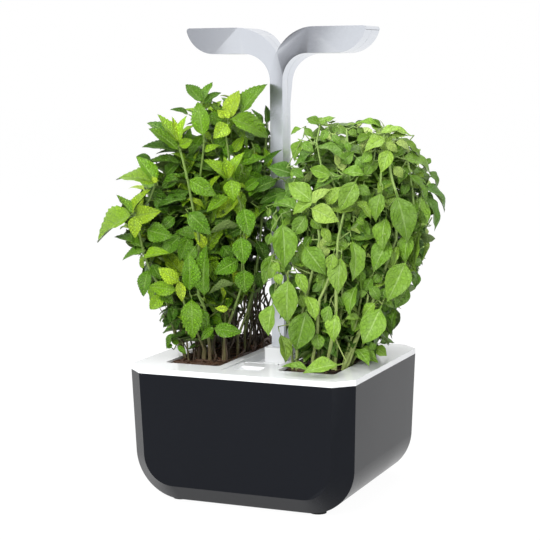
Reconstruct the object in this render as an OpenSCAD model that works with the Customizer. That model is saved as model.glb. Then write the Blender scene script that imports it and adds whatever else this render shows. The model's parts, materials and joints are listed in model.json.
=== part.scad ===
// Countertop hydroponic garden: a dark water tank, a white planting tray with two wells,
// and a forked lamp on a square mast that slides in the tray's socket.
// Millimetres. X to the right, Y to the back, Z up. The origin is on the table, under the
// middle of the tank.

/* [Tank] */
// Width of the tank at its rim
tank_w = 200; // [190:1:212]
// Depth of the tank at its rim
tank_d = 183.1; // [178:0.1:195]
// Height of the tank's casing, without its feet
tank_h = 109; // [104:1:116]
// Wall of the casing
tank_wall = 3; // [2.5:0.1:3.4]
// Width of the bevel round the front and back faces
face_bevel = 14.8; // [12:0.2:17]
// Radius of the two lower corners, seen from the front
corner_r = 40.4; // [34:0.2:44]
// How far a side leans in from the rim to the base
side_lean = 3.4; // [2:0.1:4.5]
// How far the front and the back lean in from the rim to the base
front_lean = 4.1; // [2:0.1:5]
// How far the rubber feet stand below the casing
foot_h = 1.5; // [1:0.1:3]

/* [Tray] */
// Height of the white band that shows round the rim
band_h = 4.6; // [4:0.1:5.4]
// Width of a well for a plant
well_w = 50; // [46:1:51]
// Length of a well, front to back
well_l = 132; // [124:1:134]
// Depth of a well below the top of the tray
well_h = 53; // [48:1:56]
// Distance from the middle of the tray to the middle of a well
well_x = 51; // [50:0.5:53]
// Distance of the wells' middle behind the middle of the tray
well_y = 4; // [2:1:6]
// Width of the sunken channel between the wells
channel_w = 37; // [35:1:38]
// Depth of the channel below the top of the tray
channel_h = 6.6; // [6:0.1:7.5]

/* [Filling flap] */
// Width of the flap
flap_w = 34; // [32:0.5:34]
// Length of the flap, from its hinge to its front edge
flap_l = 40; // [38:1:41]
// Thickness of the flap
flap_t = 3.2; // [3:0.1:3.6]

/* [Lamp] */
// Height of the lamp's top above the casing's underside
lamp_z = 392.8; // [386:0.1:400]
// Distance from the middle to the tip of a wing
wing_reach = 81; // [78:0.5:84]
// Height of a wing, top to bottom
wing_h = 22; // [21:0.5:24]
// Depth of a wing, front to back
wing_d = 36; // [34:0.5:38]
// Width of the mast
mast_w = 11.5; // [10.5:0.5:12]
// Depth of the mast
mast_d = 16.6; // [15.6:0.2:17]
// Radius of the bend under a wing
under_r = 23; // [22:0.5:26]
// Radius of the bend on top of a wing
over_r = 40.8; // [39:0.2:44]
// Depth of the fold down the front, where the two wings meet
fold_d = 5.1; // [3:0.1:6]
// Wall of the lamp's covers
lamp_wall = 1.6; // [1.4:0.1:1.8]
// Thickness of the lid on top of each wing
lid_t = 3.2; // [2.8:0.1:3.6]

/* [Lamp electronics] */
// Rows of light-emitting diodes on a board
led_rows = 3; // [2:1:3]
// Diodes in a row
led_per_row = 4; // [3:1:4]
// Fins on a heat sink
fin_count = 6; // [4:1:7]
// Air slots in a lid
vent_count = 6; // [4:1:6]

/* [Plants] */
// Stems of each plant
stem_count = 9; // [7:1:11]
// Radius of a mint stem
mint_stem_r = 1.3; // [1:0.1:1.6]
// Radius of a basil stem
basil_stem_r = 1.6; // [1.2:0.1:2]

/* [Hidden] */

eps = 0.01;
slim = 0.3;                                  // clearance between separate pieces
slide_fit = 0.1;                             // clearance of what slides
rim_z = foot_h + tank_h;
tray_z = rim_z + band_h;                     // top of the planting tray

// Tank
foot_r = 7;
foot_sunk = 1.5;                             // how deep a foot sits in the casing's floor
foot_x = 62;
foot_y = 62;

// Tray
plate_t = 2.2;
lip_t = 1.8;                                 // locating lip inside the rim
lip_h = 6.5;
lip_gap = 0.6;
well_wall = 1.6;
well_r = 4;
ledge_w = 5;                                 // ledge that carries a basket
ledge_t = 2;
well_z = tray_z - well_h;                    // underside of a well
channel_z = tray_z - channel_h;              // top of the channel's floor
channel_t = 2;
channel_front = -75;
channel_back = 76;

// Flap, with its hinge at the back edge
hinge_y = -32;
hinge_z = channel_z + 3.9;
knuckle_r = 2.2;
pin_r = 1;
pin_l = 30;
lug_t = 3;                                   // lugs that hold the pin's ends
flap_z = channel_z + 2.5;                    // underside of the flap
flap_front = hinge_y - flap_l;
grip_w = 21;                                 // finger recess in the flap
grip_l = 19;
grip_h = 1.8;
grip_edge = 5;                               // from the flap's front edge to the recess
seat_w = 3;                                  // seats at the channel's sides that carry the flap

// Level gauge, under the front half of the flap
gauge_y = -59;
cage_r = 8.5;
cage_wall = 1;
cage_z = 13;
cage_floor = 1.6;
cage_slot = [5, 70];                         // width and height of the cage's slots
cage_slot_z = 21;
float_r = 6.8;
float_h = 16;
float_stem_r = 2;
float_top = 50;                              // height of the float with its stem
pour_hole = [25, 11];                        // opening for the watering can's spout
pour_y = -42;

// Mast and its socket
mast_front = 3.4;
mast_back = mast_front + mast_d;
mast_z = 19;                                 // lower end of the mast
socket_wall = 2;
socket_z = 14;                               // closed lower end of the socket
pedestal_w = 20;
pedestal_front = -5;
pedestal_back = 23;
pedestal_top = tray_z + 7.5;
inlet_r = 4.8;
inlet_hole_r = 3.1;
inlet_y = 26;
inlet_l = 11.2;
inlet_z = channel_z + 6.5;
inlet_case_w = 14;
screw_r = 1.2;
screw_head_r = 2.4;
socket_screw_places = [[0, -1, 9], [-5.9, 26, 3], [5.9, 26, 3]];   // x, y and depth in the socket

// Lamp: centres of its bends, seen from the front
lamp_top = foot_h + lamp_z;
wing_z = lamp_top - wing_h;                  // underside of a wing
lamp_front = mast_front - fold_d;
lamp_back = lamp_front + wing_d;
under_x = mast_w / 2 + under_r;
under_z = wing_z - under_r;
over_x = 35.6;
over_z = lamp_top - over_r;
tip_r = 26;                                  // bend up to a wing's tip
tip_corner = 2.5;                            // rounding of the tip's top corner
corner_x = wing_reach - tip_corner;
corner_z = lamp_top - tip_corner;
tip_z = wing_z + tip_r;
tip_x = corner_x - sqrt(pow(tip_r - tip_corner, 2) - pow(tip_z - corner_z, 2));
split_y = 14;                                // where the front and rear covers meet
lid_start = 13;                              // a lid runs from here to the wing's tip
lid_rim = lamp_wall + 0.25;                  // a lid's distance from the front and back faces
lid_ledge = 1.2;                             // ledge under a lid's long edges
fold_half = 31.5;                            // how far from the middle the fold spreads
flare_mid = [14, 3.4];                       // distance from the middle, and how far short of full depth
flare_end = 24;                              // distance from the middle at which the back is at full depth
neck_back = 26;                              // back of the lamp at its middle
neck_z = under_z + 4;
neck_drop = 24;
fold_fade = 140;
seam = 0.25;                                 // gap between the lamp's covers and lids

// Lens, diodes, board and heat sink in a wing, from below
lens_x0 = 32.5;
lens_l = 23;
lens_w = 27;
lens_y = (lamp_front + lamp_back) / 2;
lens_lip = 1.4;
lens_lip_t = 1.2;
board_l = 34;
board_w = 30;
board_t = 1.6;
board_x0 = 27;
board_y0 = lens_y - board_w / 2;
chip = 2.8;
chip_t = 0.8;
board_z = wing_z + lamp_wall + lens_lip_t + 1.6;
sink_base = 2;
fin_t = 1;
fin_h = 7.6;
vent_w = 1.1;
vent_l = 24;
vent_x0 = 15;
vent_pitch = 2.6;
driver_w = 5.6;
driver_t = 1.6;
driver_h = 10.8;
driver_y = 18.8;
driver_z = under_z + 1.5;
plug_w = 4.4;                                // the lead's connector
plug_d = 4.4;
plug_h = 4;
lead_y = 13.5;
lead_r = 1.5;
core_top = under_z - 4;                      // upper end of the mast's channel
plug_end = 8;                                // block in the mast's lower end
screw_head_t = 1.4;

// Button on the back of the lamp's neck
button_r = 3.4;
button_z = under_z + 8;
button_out = 1.4;
button_travel = 1;
switch_t = 1.6;
cover_screw_places = [
    [-66, wing_z + 11.5, lamp_back], [66, wing_z + 11.5, lamp_back], [0, under_z + 16.2, neck_back]
];

// Plants: lumps of leaves as [x, y, z, radius, reach], reach being how far a lump runs outwards
mint_lumps = [
    [-72, -22, 160, 22, 4], [-42, -30, 162, 19, 0], [-64, 18, 162, 26, 4],
    [-40, 46, 164, 24, 4], [-82, 50, 168, 22, 6], [-98, -14, 202, 26, 6],
    [-58, -34, 200, 28, 6], [-28, -18, 200, 22, 0], [-94, 34, 206, 28, 8],
    [-46, 20, 205, 32, 0], [-54, 62, 208, 26, 6], [-104, -6, 246, 26, 10],
    [-68, -34, 248, 28, 8], [-30, -30, 246, 24, 6], [-88, 40, 248, 30, 8],
    [-40, 54, 248, 30, 8], [-52, 6, 250, 36, 0], [-88, -16, 288, 26, 8], [-46, -32, 292, 26, 6],
    [-78, 28, 286, 28, 8], [-34, 34, 288, 26, 6], [-52, 0, 302, 30, 0], [-56, -16, 318, 20, 2],
    [-34, 14, 318, 18, 2], [-66, -14, 268, 25, 0], [-60, 16, 226, 26, 0], [-62, 8, 186, 24, 0]
];
basil_lumps = [
    [46, -38, 154, 20, 4], [76, -22, 152, 23, 4], [50, 12, 154, 23, 2], [82, 34, 156, 25, 4],
    [48, 58, 160, 23, 4], [38, -36, 192, 22, 4], [72, -44, 190, 25, 6], [104, -16, 192, 25, 8],
    [58, 8, 194, 33, 0], [100, 38, 196, 27, 8], [60, 66, 198, 25, 8], [34, -30, 234, 23, 4],
    [68, -44, 234, 27, 8], [106, -20, 234, 27, 10], [64, 4, 238, 35, 0], [108, 34, 236, 27, 10],
    [38, 52, 238, 27, 6], [76, 70, 236, 25, 8], [38, -22, 272, 23, 4], [74, -28, 274, 25, 6],
    [106, -4, 270, 25, 10], [58, 14, 276, 31, 0], [92, 44, 272, 25, 8], [44, 46, 274, 25, 6],
    [52, -4, 292, 17, 0], [86, 10, 290, 17, 2], [88, 10, 254, 26, 0], [60, -16, 252, 24, 0],
    [66, 30, 220, 26, 0], [74, 0, 214, 26, 0], [62, 30, 256, 24, 0]
];
lump_fn = 12;
stem_spread = 44;                            // how far before and behind the well's middle stems leave
stem_h = 108;

substrate_top = tray_z - 5;
basket_gap = 0.7;
basket_t = 1.2;
basket_z = well_z + ledge_t;
wick_w = 20;
wick_t = 1.6;
wick_z = 8;

// A rectangle with bevelled corners, centred
module bevelled_rect(w, d, c) {
    polygon([
        [-w / 2 + c, -d / 2], [w / 2 - c, -d / 2], [w / 2, -d / 2 + c], [w / 2, d / 2 - c],
        [w / 2 - c, d / 2], [-w / 2 + c, d / 2], [-w / 2, d / 2 - c], [-w / 2, -d / 2 + c]
    ]);
}

// A rectangle with round corners, centred
module round_rect(w, d, r) {
    square([w - 2 * r, d], center = true);
    square([w, d - 2 * r], center = true);
    for (x = [-1, 1], y = [-1, 1])
        translate([x * (w / 2 - r), y * (d / 2 - r)]) circle(r, $fn = 48);
}

// A thin slice of the tank's outline, seen from the front. Inset runs inwards from the outline.
module tank_slice(side, y, inset, top) {
    lean = atan(front_lean / tank_h);
    side_slope = side_lean / tank_h;
    r = corner_r - inset;
    x_low = tank_w / 2 - side_lean - corner_r + corner_r * side_slope;
    x_top = tank_w / 2 - inset + side_slope * (top - rim_z);
    translate([0, side * y, rim_z]) rotate([-side * lean, 0, 0]) translate([0, 0, -rim_z]) {
        for (x = [-1, 1]) {
            translate([x * x_low, 0, foot_h + corner_r])
                rotate([90, 0, 0]) cylinder(r = r, h = eps, center = true, $fn = 96);
            translate([x * (x_top - eps), 0, top - eps]) cube(2 * eps, center = true);
        }
    }
}

// The tank's body as a solid, inset by a wall's thickness
module tank_body(wall, top) {
    bevel = face_bevel - wall * (2 - sqrt(2));
    hull()
        for (side = [-1, 1]) {
            tank_slice(side, tank_d / 2 - wall, wall + bevel, top);
            tank_slice(side, tank_d / 2 - wall - bevel, wall, top);
        }
}

module tank_shell() {
    color("#23262b")
    difference() {
        intersection() {
            tank_body(0, rim_z + 1);
            translate([0, 0, foot_h + tank_h / 2]) cube([2 * tank_w, 2 * tank_d, tank_h], center = true);
        }
        tank_body(tank_wall, rim_z + 4);
        for (x = [-1, 1], y = [-1, 1])
            translate([x * foot_x, y * foot_y, foot_h - 1])
                cylinder(r = foot_r + 0.1, h = 1 + foot_sunk, $fn = 48);
    }
}

module rubber_feet() {
    color("#15161a")
    for (x = [-1, 1], y = [-1, 1])
        translate([x * foot_x, y * foot_y, 0]) cylinder(r = foot_r, h = foot_h + foot_sunk, $fn = 48);
}

// The hollow or the wall of one well, over its height
module at_wells() {
    for (side = [-1, 1]) translate([side * well_x, well_y, 0]) children();
}

module planting_tray() {
    lip_out = tank_wall + lip_gap;
    lip_in = lip_out + lip_t;
    channel_l = channel_back - channel_front;
    channel_y = (channel_back + channel_front) / 2;
    color("#f4f5f6")
    difference() {
        union() {
            translate([0, 0, rim_z])
                linear_extrude(band_h) bevelled_rect(tank_w, tank_d, face_bevel);
            translate([0, 0, rim_z - lip_h]) linear_extrude(lip_h + 1)
                bevelled_rect(
                    tank_w - 2 * lip_out, tank_d - 2 * lip_out, face_bevel - lip_out * (2 - sqrt(2))
                );
            at_wells() translate([0, 0, well_z])
                linear_extrude(well_h - 1)
                    round_rect(well_w + 2 * well_wall, well_l + 2 * well_wall, well_r + well_wall);
            translate([0, channel_y, channel_z - channel_t]) linear_extrude(channel_h + channel_t - 1)
                square([channel_w + 2 * well_wall, channel_l + 2 * well_wall], center = true);
        }
        // the space under the plate, between the lip, the wells and the channel
        difference() {
            translate([0, 0, rim_z - lip_h - 1]) linear_extrude(tray_z - plate_t - (rim_z - lip_h - 1))
                bevelled_rect(tank_w - 2 * lip_in, tank_d - 2 * lip_in, face_bevel - lip_in * (2 - sqrt(2)));
            at_wells() translate([0, 0, well_z - 1])
                linear_extrude(well_h + 2)
                    round_rect(well_w + 2 * well_wall, well_l + 2 * well_wall, well_r + well_wall);
            translate([0, channel_y, channel_z - channel_t]) linear_extrude(channel_h + channel_t + 1)
                square([channel_w + 2 * well_wall, channel_l + 2 * well_wall], center = true);
        }
        at_wells() {
            translate([0, 0, well_z + ledge_t]) linear_extrude(well_h) round_rect(well_w, well_l, well_r);
            translate([0, 0, well_z - 1]) linear_extrude(well_h)
                round_rect(well_w - 2 * ledge_w, well_l - 2 * ledge_w, well_r);
        }
        // the channel, its pour hole and the holes for the gauge, the socket and its screws
        translate([0, channel_y, channel_z]) linear_extrude(channel_h + 1)
            square([channel_w, channel_l], center = true);
        translate([0, pour_y, channel_z]) cube([pour_hole.x, pour_hole.y, 3 * channel_t], center = true);
        translate([0, gauge_y, channel_z - 2 * channel_t])
            cylinder(r = cage_r - cage_wall, h = 3 * channel_t, $fn = 64);
        translate([0, (mast_front + mast_back) / 2, channel_z])
            cube([
                mast_w + 2 * socket_wall + 2 * slim, mast_d + 2 * socket_wall + 2 * slim, 3 * channel_t
            ], center = true);
        for (p = socket_screw_places)
            translate([p.x, p.y, channel_z - 2 * channel_t])
                cylinder(r = screw_r + 0.2, h = 3 * channel_t, $fn = 32);
    }
    color("#f4f5f6") {
        flap_seats();
        hinge_lugs();
    }
}

// Seats along the channel's sides and front, which carry the closed flap
module flap_seats() {
    seat_back = hinge_y - 6;
    difference() {
        translate([-channel_w / 2, channel_front, channel_z])
            cube([channel_w, seat_back - channel_front, flap_z - channel_z]);
        translate([-channel_w / 2 + seat_w, channel_front + seat_w, channel_z - 1])
            cube([channel_w - 2 * seat_w, 2 * flap_l, channel_h]);
    }
}

// Two lugs that hold the ends of the flap's pin
module hinge_lugs() {
    for (side = [-1, 1])
        translate([side * (pin_l / 2 - lug_t / 2), hinge_y, 0]) difference() {
            union() {
                translate([0, 0, hinge_z]) rotate([0, 90, 0])
                    cylinder(r = knuckle_r, h = lug_t, center = true, $fn = 48);
                translate([-lug_t / 2, -knuckle_r, channel_z])
                    cube([lug_t, 2 * knuckle_r, hinge_z - channel_z]);
            }
            translate([0, 0, hinge_z]) rotate([0, 90, 0])
                cylinder(r = pin_r + 0.02, h = 2 * lug_t, center = true, $fn = 48);
        }
}

module flap_pin() {
    color("#c9ccd0")
    translate([0, hinge_y, hinge_z]) rotate([0, 90, 0])
        cylinder(r = pin_r, h = pin_l, center = true, $fn = 48);
}

module fill_flap() {
    knuckle_l = pin_l - 2 * lug_t - 2 * slim;
    grip_y = flap_front + grip_edge + grip_l / 2;
    color("#f7f8f9")
    difference() {
        union() {
            translate([0, (flap_front + hinge_y - knuckle_r - slim) / 2, flap_z + flap_t / 2])
                cube([flap_w, hinge_y - knuckle_r - slim - flap_front, flap_t], center = true);
            translate([-knuckle_l / 2, hinge_y - knuckle_r - 1, flap_z + slim])
                cube([knuckle_l, knuckle_r + 1, flap_t - slim]);
            translate([0, hinge_y, hinge_z]) rotate([0, 90, 0])
                cylinder(r = knuckle_r, h = knuckle_l, center = true, $fn = 48);
        }
        translate([0, hinge_y, hinge_z]) rotate([0, 90, 0])
            cylinder(r = pin_r + 0.06, h = 2 * knuckle_l, center = true, $fn = 48);
        translate([0, grip_y, flap_z + flap_t - grip_h]) linear_extrude(flap_t) round_rect(grip_w, grip_l, 2);
    }
}

// Cage that hangs under the tray round the float
module float_cage() {
    top = channel_z - channel_t;
    color("#e6e8ea")
    translate([0, gauge_y, 0]) difference() {
        union() {
            translate([0, 0, cage_z]) cylinder(r = cage_r, h = top - cage_z, $fn = 64);
            translate([0, 0, top - 2]) cylinder(r = cage_r + 2.5, h = 2, $fn = 64);
        }
        translate([0, 0, cage_z + cage_floor]) cylinder(r = cage_r - cage_wall, h = top, $fn = 64);
        for (a = [0, 90])
            rotate([0, 0, a + 45]) translate([0, 0, cage_slot_z + cage_slot.y / 2])
                cube([3 * cage_r, cage_slot.x, cage_slot.y], center = true);
        translate([0, 0, cage_z - 1]) cylinder(r = 2, h = 4, $fn = 32);
    }
}

module level_float() {
    bottom = cage_z + cage_floor + slide_fit;
    color("#d8452f")
    translate([0, gauge_y, bottom]) {
        cylinder(r = float_r, h = float_h, $fn = 64);
        cylinder(r = float_stem_r, h = float_top, $fn = 32);
        translate([0, 0, float_top - 3]) cylinder(r = 3.6, h = 3, $fn = 48);
    }
}

// Pedestal on the tray with a closed tube below, in which the mast slides
module mast_socket() {
    mast_y = (mast_front + mast_back) / 2;
    tube_w = mast_w + 2 * socket_wall;
    tube_d = mast_d + 2 * socket_wall;
    pedestal_y = (pedestal_front + pedestal_back) / 2;
    pedestal_d = pedestal_back - pedestal_front;
    foot_step = 1.6;
    color("#f4f5f6")
    difference() {
        union() {
            translate([0, pedestal_y, channel_z]) linear_extrude(pedestal_top - channel_z)
                round_rect(pedestal_w, pedestal_d, 2.5);
            translate([0, pedestal_y, channel_z]) linear_extrude(foot_step)
                round_rect(pedestal_w + 2 * foot_step, pedestal_d + 2 * foot_step, 2.5 + foot_step);
            translate([0, mast_y, socket_z]) linear_extrude(channel_z - socket_z + 1)
                square([tube_w, tube_d], center = true);
            translate([-inlet_case_w / 2, pedestal_back - 1, channel_z])
                cube([inlet_case_w, inlet_y + inlet_l - pedestal_back + 1, 2 * (inlet_z - channel_z)]);
        }
        translate([0, mast_y, socket_z + socket_wall])
            linear_extrude(pedestal_top)
                square([mast_w + 2 * slide_fit, mast_d + 2 * slide_fit], center = true);
        translate([0, inlet_y, inlet_z]) rotate([-90, 0, 0])
            cylinder(r = inlet_r + 0.1, h = 2 * inlet_l, $fn = 64);
        for (p = socket_screw_places)
            translate([p.x, p.y, channel_z - 1]) cylinder(r = screw_r + 0.05, h = p.z + 1.5, $fn = 32);
    }
}

module socket_screws() {
    color("#b9bcc0")
    for (p = socket_screw_places)
        translate([p.x, p.y, channel_z - channel_t]) {
            translate([0, 0, -2]) cylinder(r = screw_head_r, h = 2, $fn = 48);
            translate([0, 0, -1]) cylinder(r = screw_r, h = 1 + channel_t + p.z, $fn = 32);
        }
}

// Socket for the power supply's round plug, at the back of the pedestal
module dc_inlet() {
    color("#1b1c1f")
    translate([0, inlet_y, inlet_z]) rotate([-90, 0, 0]) {
        difference() {
            cylinder(r = inlet_r, h = inlet_l, $fn = 64);
            translate([0, 0, 2]) cylinder(r = inlet_hole_r, h = inlet_l, $fn = 64);
        }
        cylinder(r = 1, h = inlet_l - 1, $fn = 32);
    }
}

// A plant's growing medium, in a basket that drops into a well
module basket(side) {
    w = well_w - 2 * basket_gap;
    l = well_l - 2 * basket_gap;
    h = substrate_top + 2 - basket_z;
    translate([side * well_x, well_y, basket_z]) difference() {
        linear_extrude(h) round_rect(w, l, well_r - basket_gap);
        translate([0, 0, basket_t]) linear_extrude(h)
            round_rect(w - 2 * basket_t, l - 2 * basket_t, well_r - basket_gap - basket_t);
        for (i = [-4:4])
            translate([0, i * 13, h * 0.42]) cube([2 * w, 7, h * 0.6], center = true);
        cube([wick_w + 1, wick_t + 1, 4 * basket_t], center = true);
    }
}

module substrate(side) {
    w = well_w - 2 * (basket_gap + basket_t + slim);
    l = well_l - 2 * (basket_gap + basket_t + slim);
    translate([side * well_x, well_y, basket_z + basket_t])
        linear_extrude(substrate_top - basket_z - basket_t) round_rect(w, l, 2);
}

module wick(side) {
    translate([side * well_x - wick_w / 2, well_y - wick_t / 2, wick_z])
        cube([wick_w, wick_t, basket_z + basket_t - wick_z]);
}

// The foot of stem i on the substrate, spread along the well in two staggered rows
function stem_foot(side, i) = [
    side * well_x + (i % 2 == 0 ? -9 : 9),
    well_y + stem_spread * (2 * i / (stem_count - 1) - 1),
    substrate_top + 0.6
];

// A straight round bar between two points
module bar(from, to, r, fn) {
    v = to - from;
    length = norm(v);
    translate(from) rotate([0, acos(v.z / length), atan2(v.y, v.x)]) cylinder(r = r, h = length, $fn = fn);
}

module stems(side, r, fn) {
    for (i = [0:stem_count - 1]) {
        foot = stem_foot(side, i);
        fan = [1.5 * (foot.x - side * well_x), 0.35 * (foot.y - well_y), stem_h];
        bar(foot, foot + fan, r, fn);
    }
}

// Leaves as a mass of rounded lumps, held clear of the mast, the flap and the other plant
module foliage(side, lumps, stem_r) {
    mast_room = 4;
    difference() {
        for (lump = lumps)
            hull() {
                middle = [lump.x, lump.y, lump.z];
                outward = [lump.x - side * well_x, lump.y - well_y, 20];
                translate(middle) sphere(lump[3], $fn = lump_fn);
                translate(middle + outward * (lump[4] / norm(outward)))
                    sphere(lump[3] * 0.8, $fn = lump_fn);
            }
        translate([side > 0 ? -tank_w + 1 : -1, -tank_d, 0]) cube([tank_w, 2 * tank_d, lamp_top]);
        translate([-mast_w / 2 - mast_room, mast_front - mast_room, 0])
            cube([mast_w + 2 * mast_room, mast_d + 2 * mast_room, lamp_top]);
        stems(side, stem_r + slim, 12);
    }
}

module mint_basket() { color("#3b3a36") basket(-1); }
module basil_basket() { color("#3b3a36") basket(1); }
module mint_substrate() { color("#4a3a2c") substrate(-1); }
module basil_substrate() { color("#4a3a2c") substrate(1); }
module mint_wick() { color("#d9d5c8") wick(-1); }
module basil_wick() { color("#d9d5c8") wick(1); }
module mint_stems() { color("#6d6a3a") stems(-1, mint_stem_r, 24); }
module basil_stems() { color("#9dbb62") stems(1, basil_stem_r, 24); }
module mint_foliage() { color("#4f9a26") foliage(-1, mint_lumps, mint_stem_r); }
module basil_foliage() { color("#5fa93a") foliage(1, basil_lumps, basil_stem_r); }

// A wing's end: one bend up from the underside, and a small one over to the top
module wing_tip(inset) {
    run = corner_x - tip_x;
    rise = corner_z - tip_z;
    intersection() {
        translate([tip_x, tip_z]) circle(tip_r - inset, $fn = 128);
        translate([tip_x - eps, wing_z]) square([tip_r + 1, wing_h - inset]);
        polygon([
            [tip_x - 1, wing_z - 1], [tip_x - 1, lamp_top + 1], [corner_x, lamp_top + 1],
            [corner_x, corner_z], [corner_x + run, corner_z + rise], [corner_x + run, wing_z - 1]
        ]);
    }
    translate([corner_x, corner_z]) circle(tip_corner - inset, $fn = 64);
}

// Half of the lamp's front view above the mast, inset by a wall's thickness
module half_wing(inset) {
    difference() {
        union() {
            translate([-eps, under_z]) square([tip_x + eps, wing_h + under_r - inset]);
            wing_tip(inset);
        }
        difference() {
            translate([-1, over_z]) square([over_x + 1, over_r + 1]);
            translate([over_x, over_z]) circle(over_r - inset, $fn = 160);
        }
        translate([under_x, under_z]) circle(under_r + inset, $fn = 128);
        translate([under_x, under_z - 1]) square([wing_reach, under_r + inset + 1]);
    }
}

// The lamp's front view: two wings that grow out of the mast
module lamp_outline(inset) {
    half_wing(inset);
    mirror([1, 0]) half_wing(inset);
    translate([-mast_w / 2 + inset, mast_z - (inset > 0 ? 1 : 0)])
        square([mast_w - 2 * inset, under_z - mast_z + (inset > 0 ? 2 : 1)]);
}

// The lamp seen from above: the fold in front, and a back that widens from the neck
module lamp_plan(inset) {
    front = lamp_front + inset;
    back = lamp_back - inset;
    neck = neck_back - inset;
    x_end = wing_reach + 1;
    polygon([
        [-x_end, front], [-fold_half, front], [0, front + fold_d], [fold_half, front], [x_end, front],
        [x_end, back], [flare_end, back], [flare_mid.x, back - flare_mid.y],
        [mast_w / 2, neck], [-mast_w / 2, neck],
        [-flare_mid.x, back - flare_mid.y], [-flare_end, back], [-x_end, back]
    ]);
}

// The lamp seen from the side: the slim mast, whose front fold fades out, and the neck
module lamp_side(inset) {
    front = mast_front + inset;
    back = mast_back - inset;
    fold_at_mast = fold_d * mast_w / 2 / fold_half;
    polygon([
        [lamp_front - 1, neck_z], [front - fold_at_mast, neck_z], [front, neck_z - fold_fade],
        [front, 0], [back, 0], [back, neck_z - neck_drop], [neck_back - inset, neck_z],
        [lamp_back + 1, neck_z], [lamp_back + 1, lamp_top + 1], [lamp_front - 1, lamp_top + 1]
    ]);
}

// The lamp's solid form, inset by a wall's thickness
module lamp_form(inset) {
    intersection() {
        from_front() lamp_outline(inset);
        linear_extrude(lamp_top + 1) lamp_plan(inset);
        translate([-wing_reach - 1, 0, 0]) rotate([90, 0, 90])
            linear_extrude(2 * wing_reach + 2) lamp_side(inset);
    }
}

// A front view, made as deep as the lamp
module from_front() {
    translate([0, lamp_back + 2, 0]) rotate([90, 0, 0]) linear_extrude(wing_d + 4) children();
}

// Both sides of the lamp
module both_wings() {
    children();
    mirror([1, 0, 0]) children();
}

// The part of the lamp that the right lid takes, let in behind the front and back faces
module lid_room(gap) {
    under = over_r - lid_t - gap;
    intersection() {
        from_front() difference() {
            translate([lid_start - gap, over_z]) square([wing_reach, over_r + 1]);
            translate([over_x, over_z]) circle(under, $fn = 160);
            translate([over_x, over_z - 1]) square([wing_reach, under + 1]);
        }
        linear_extrude(lamp_top + 2) lamp_plan(lid_rim - gap);
    }
}

// Ledges on a cover's inner wall, under the lids' long edges
module lid_ledges(y) {
    both_wings()
        translate([over_x, y, lamp_top - lid_t - seam - lid_ledge]) cube([22, lid_ledge + 0.8, lid_ledge]);
}

// Everything on one side of the plane in which the two covers meet
module half_space(front) {
    translate([-wing_reach - 1, front ? split_y - wing_d : split_y + seam, 0])
        cube([2 * wing_reach + 2, wing_d, lamp_top + 1]);
}

// A boss for a cover screw, from one depth to another
module screw_boss(y0, y1, r) {
    for (p = cover_screw_places)
        translate([p.x, y0, p.y]) rotate([-90, 0, 0]) cylinder(r = r, h = y1 - y0, $fn = 48);
}

// Posts that carry the boards' corners
module board_posts(y) {
    both_wings()
        for (x = [board_x0 + 2, board_x0 + board_l - 2])
            translate([x, y, wing_z + 0.8]) cylinder(r = 1.5, h = board_z - wing_z - 0.8, $fn = 32);
}

module lens_window(gap) {
    both_wings()
        translate([lens_x0 - gap, lens_y - lens_w / 2 - gap, wing_z - 1])
            cube([lens_l + 2 * gap, lens_w + 2 * gap, lamp_wall + 1.1]);
}

// One cover of the lamp: the shell on its side of the split, open under the lids
module lamp_cover(front) {
    intersection() {
        difference() {
            lamp_form(0);
            lamp_form(lamp_wall);
            both_wings() lid_room(seam);
            lens_window(0.1);
        }
        half_space(front);
    }
}

module lamp_front_cover() {
    color("#c3c6c8") {
        difference() {
            union() {
                lamp_cover(true);
                intersection() {
                    screw_boss(lamp_front + 0.5, split_y, 2.6);
                    lamp_form(0.2);
                }
            }
            screw_boss(split_y - 9, split_y + 1, screw_r + 0.05);
        }
        board_posts(board_y0 + 2);
        lid_ledges(lamp_front + lamp_wall - 0.8);
    }
}

module lamp_rear_cover() {
    color("#bcbfc2") {
        difference() {
            union() {
                lamp_cover(false);
                intersection() {
                    screw_boss(split_y + seam, lamp_back + 1, 3.4);
                    lamp_form(0.2);
                }
            }
            screw_boss(split_y - 1, lamp_back + 1, screw_r + 0.2);
            for (p = cover_screw_places)
                translate([p.x, p.z - screw_head_t, p.y]) rotate([-90, 0, 0])
                    cylinder(r = screw_head_r + 0.2, h = lamp_back, $fn = 48);
            translate([0, split_y + 1, button_z]) rotate([-90, 0, 0])
                cylinder(r = button_r + slide_fit, h = wing_d, $fn = 64);
        }
        board_posts(board_y0 + board_w - 2);
        lid_ledges(lamp_back - lamp_wall - lid_ledge);
    }
}

module cover_screws() {
    color("#9ea2a6")
    for (p = cover_screw_places)
        translate([p.x, p.z, p.y]) rotate([90, 0, 0]) {
            cylinder(r = screw_head_r, h = screw_head_t - 0.05, $fn = 48);
            cylinder(r = screw_r, h = p.z - split_y + 7, $fn = 32);
        }
}

// The lid on top of the right wing, with its row of air slots
module lid() {
    difference() {
        intersection() {
            lamp_form(0);
            lid_room(0);
        }
        for (i = [0:vent_count - 1])
            translate([vent_x0 + i * vent_pitch, lens_y - vent_l / 2, wing_z])
                cube([vent_w, vent_l, wing_h + 1]);
    }
}

module led_lens() {
    translate([lens_x0, lens_y - lens_w / 2, wing_z]) cube([lens_l, lens_w, lamp_wall + 0.1]);
    translate([lens_x0 - lens_lip, lens_y - lens_w / 2 - lens_lip, wing_z + lamp_wall])
        cube([lens_l + 2 * lens_lip, lens_w + 2 * lens_lip, lens_lip_t]);
}

module led_board() {
    translate([board_x0, board_y0, board_z]) cube([board_l, board_w, board_t]);
}

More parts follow.
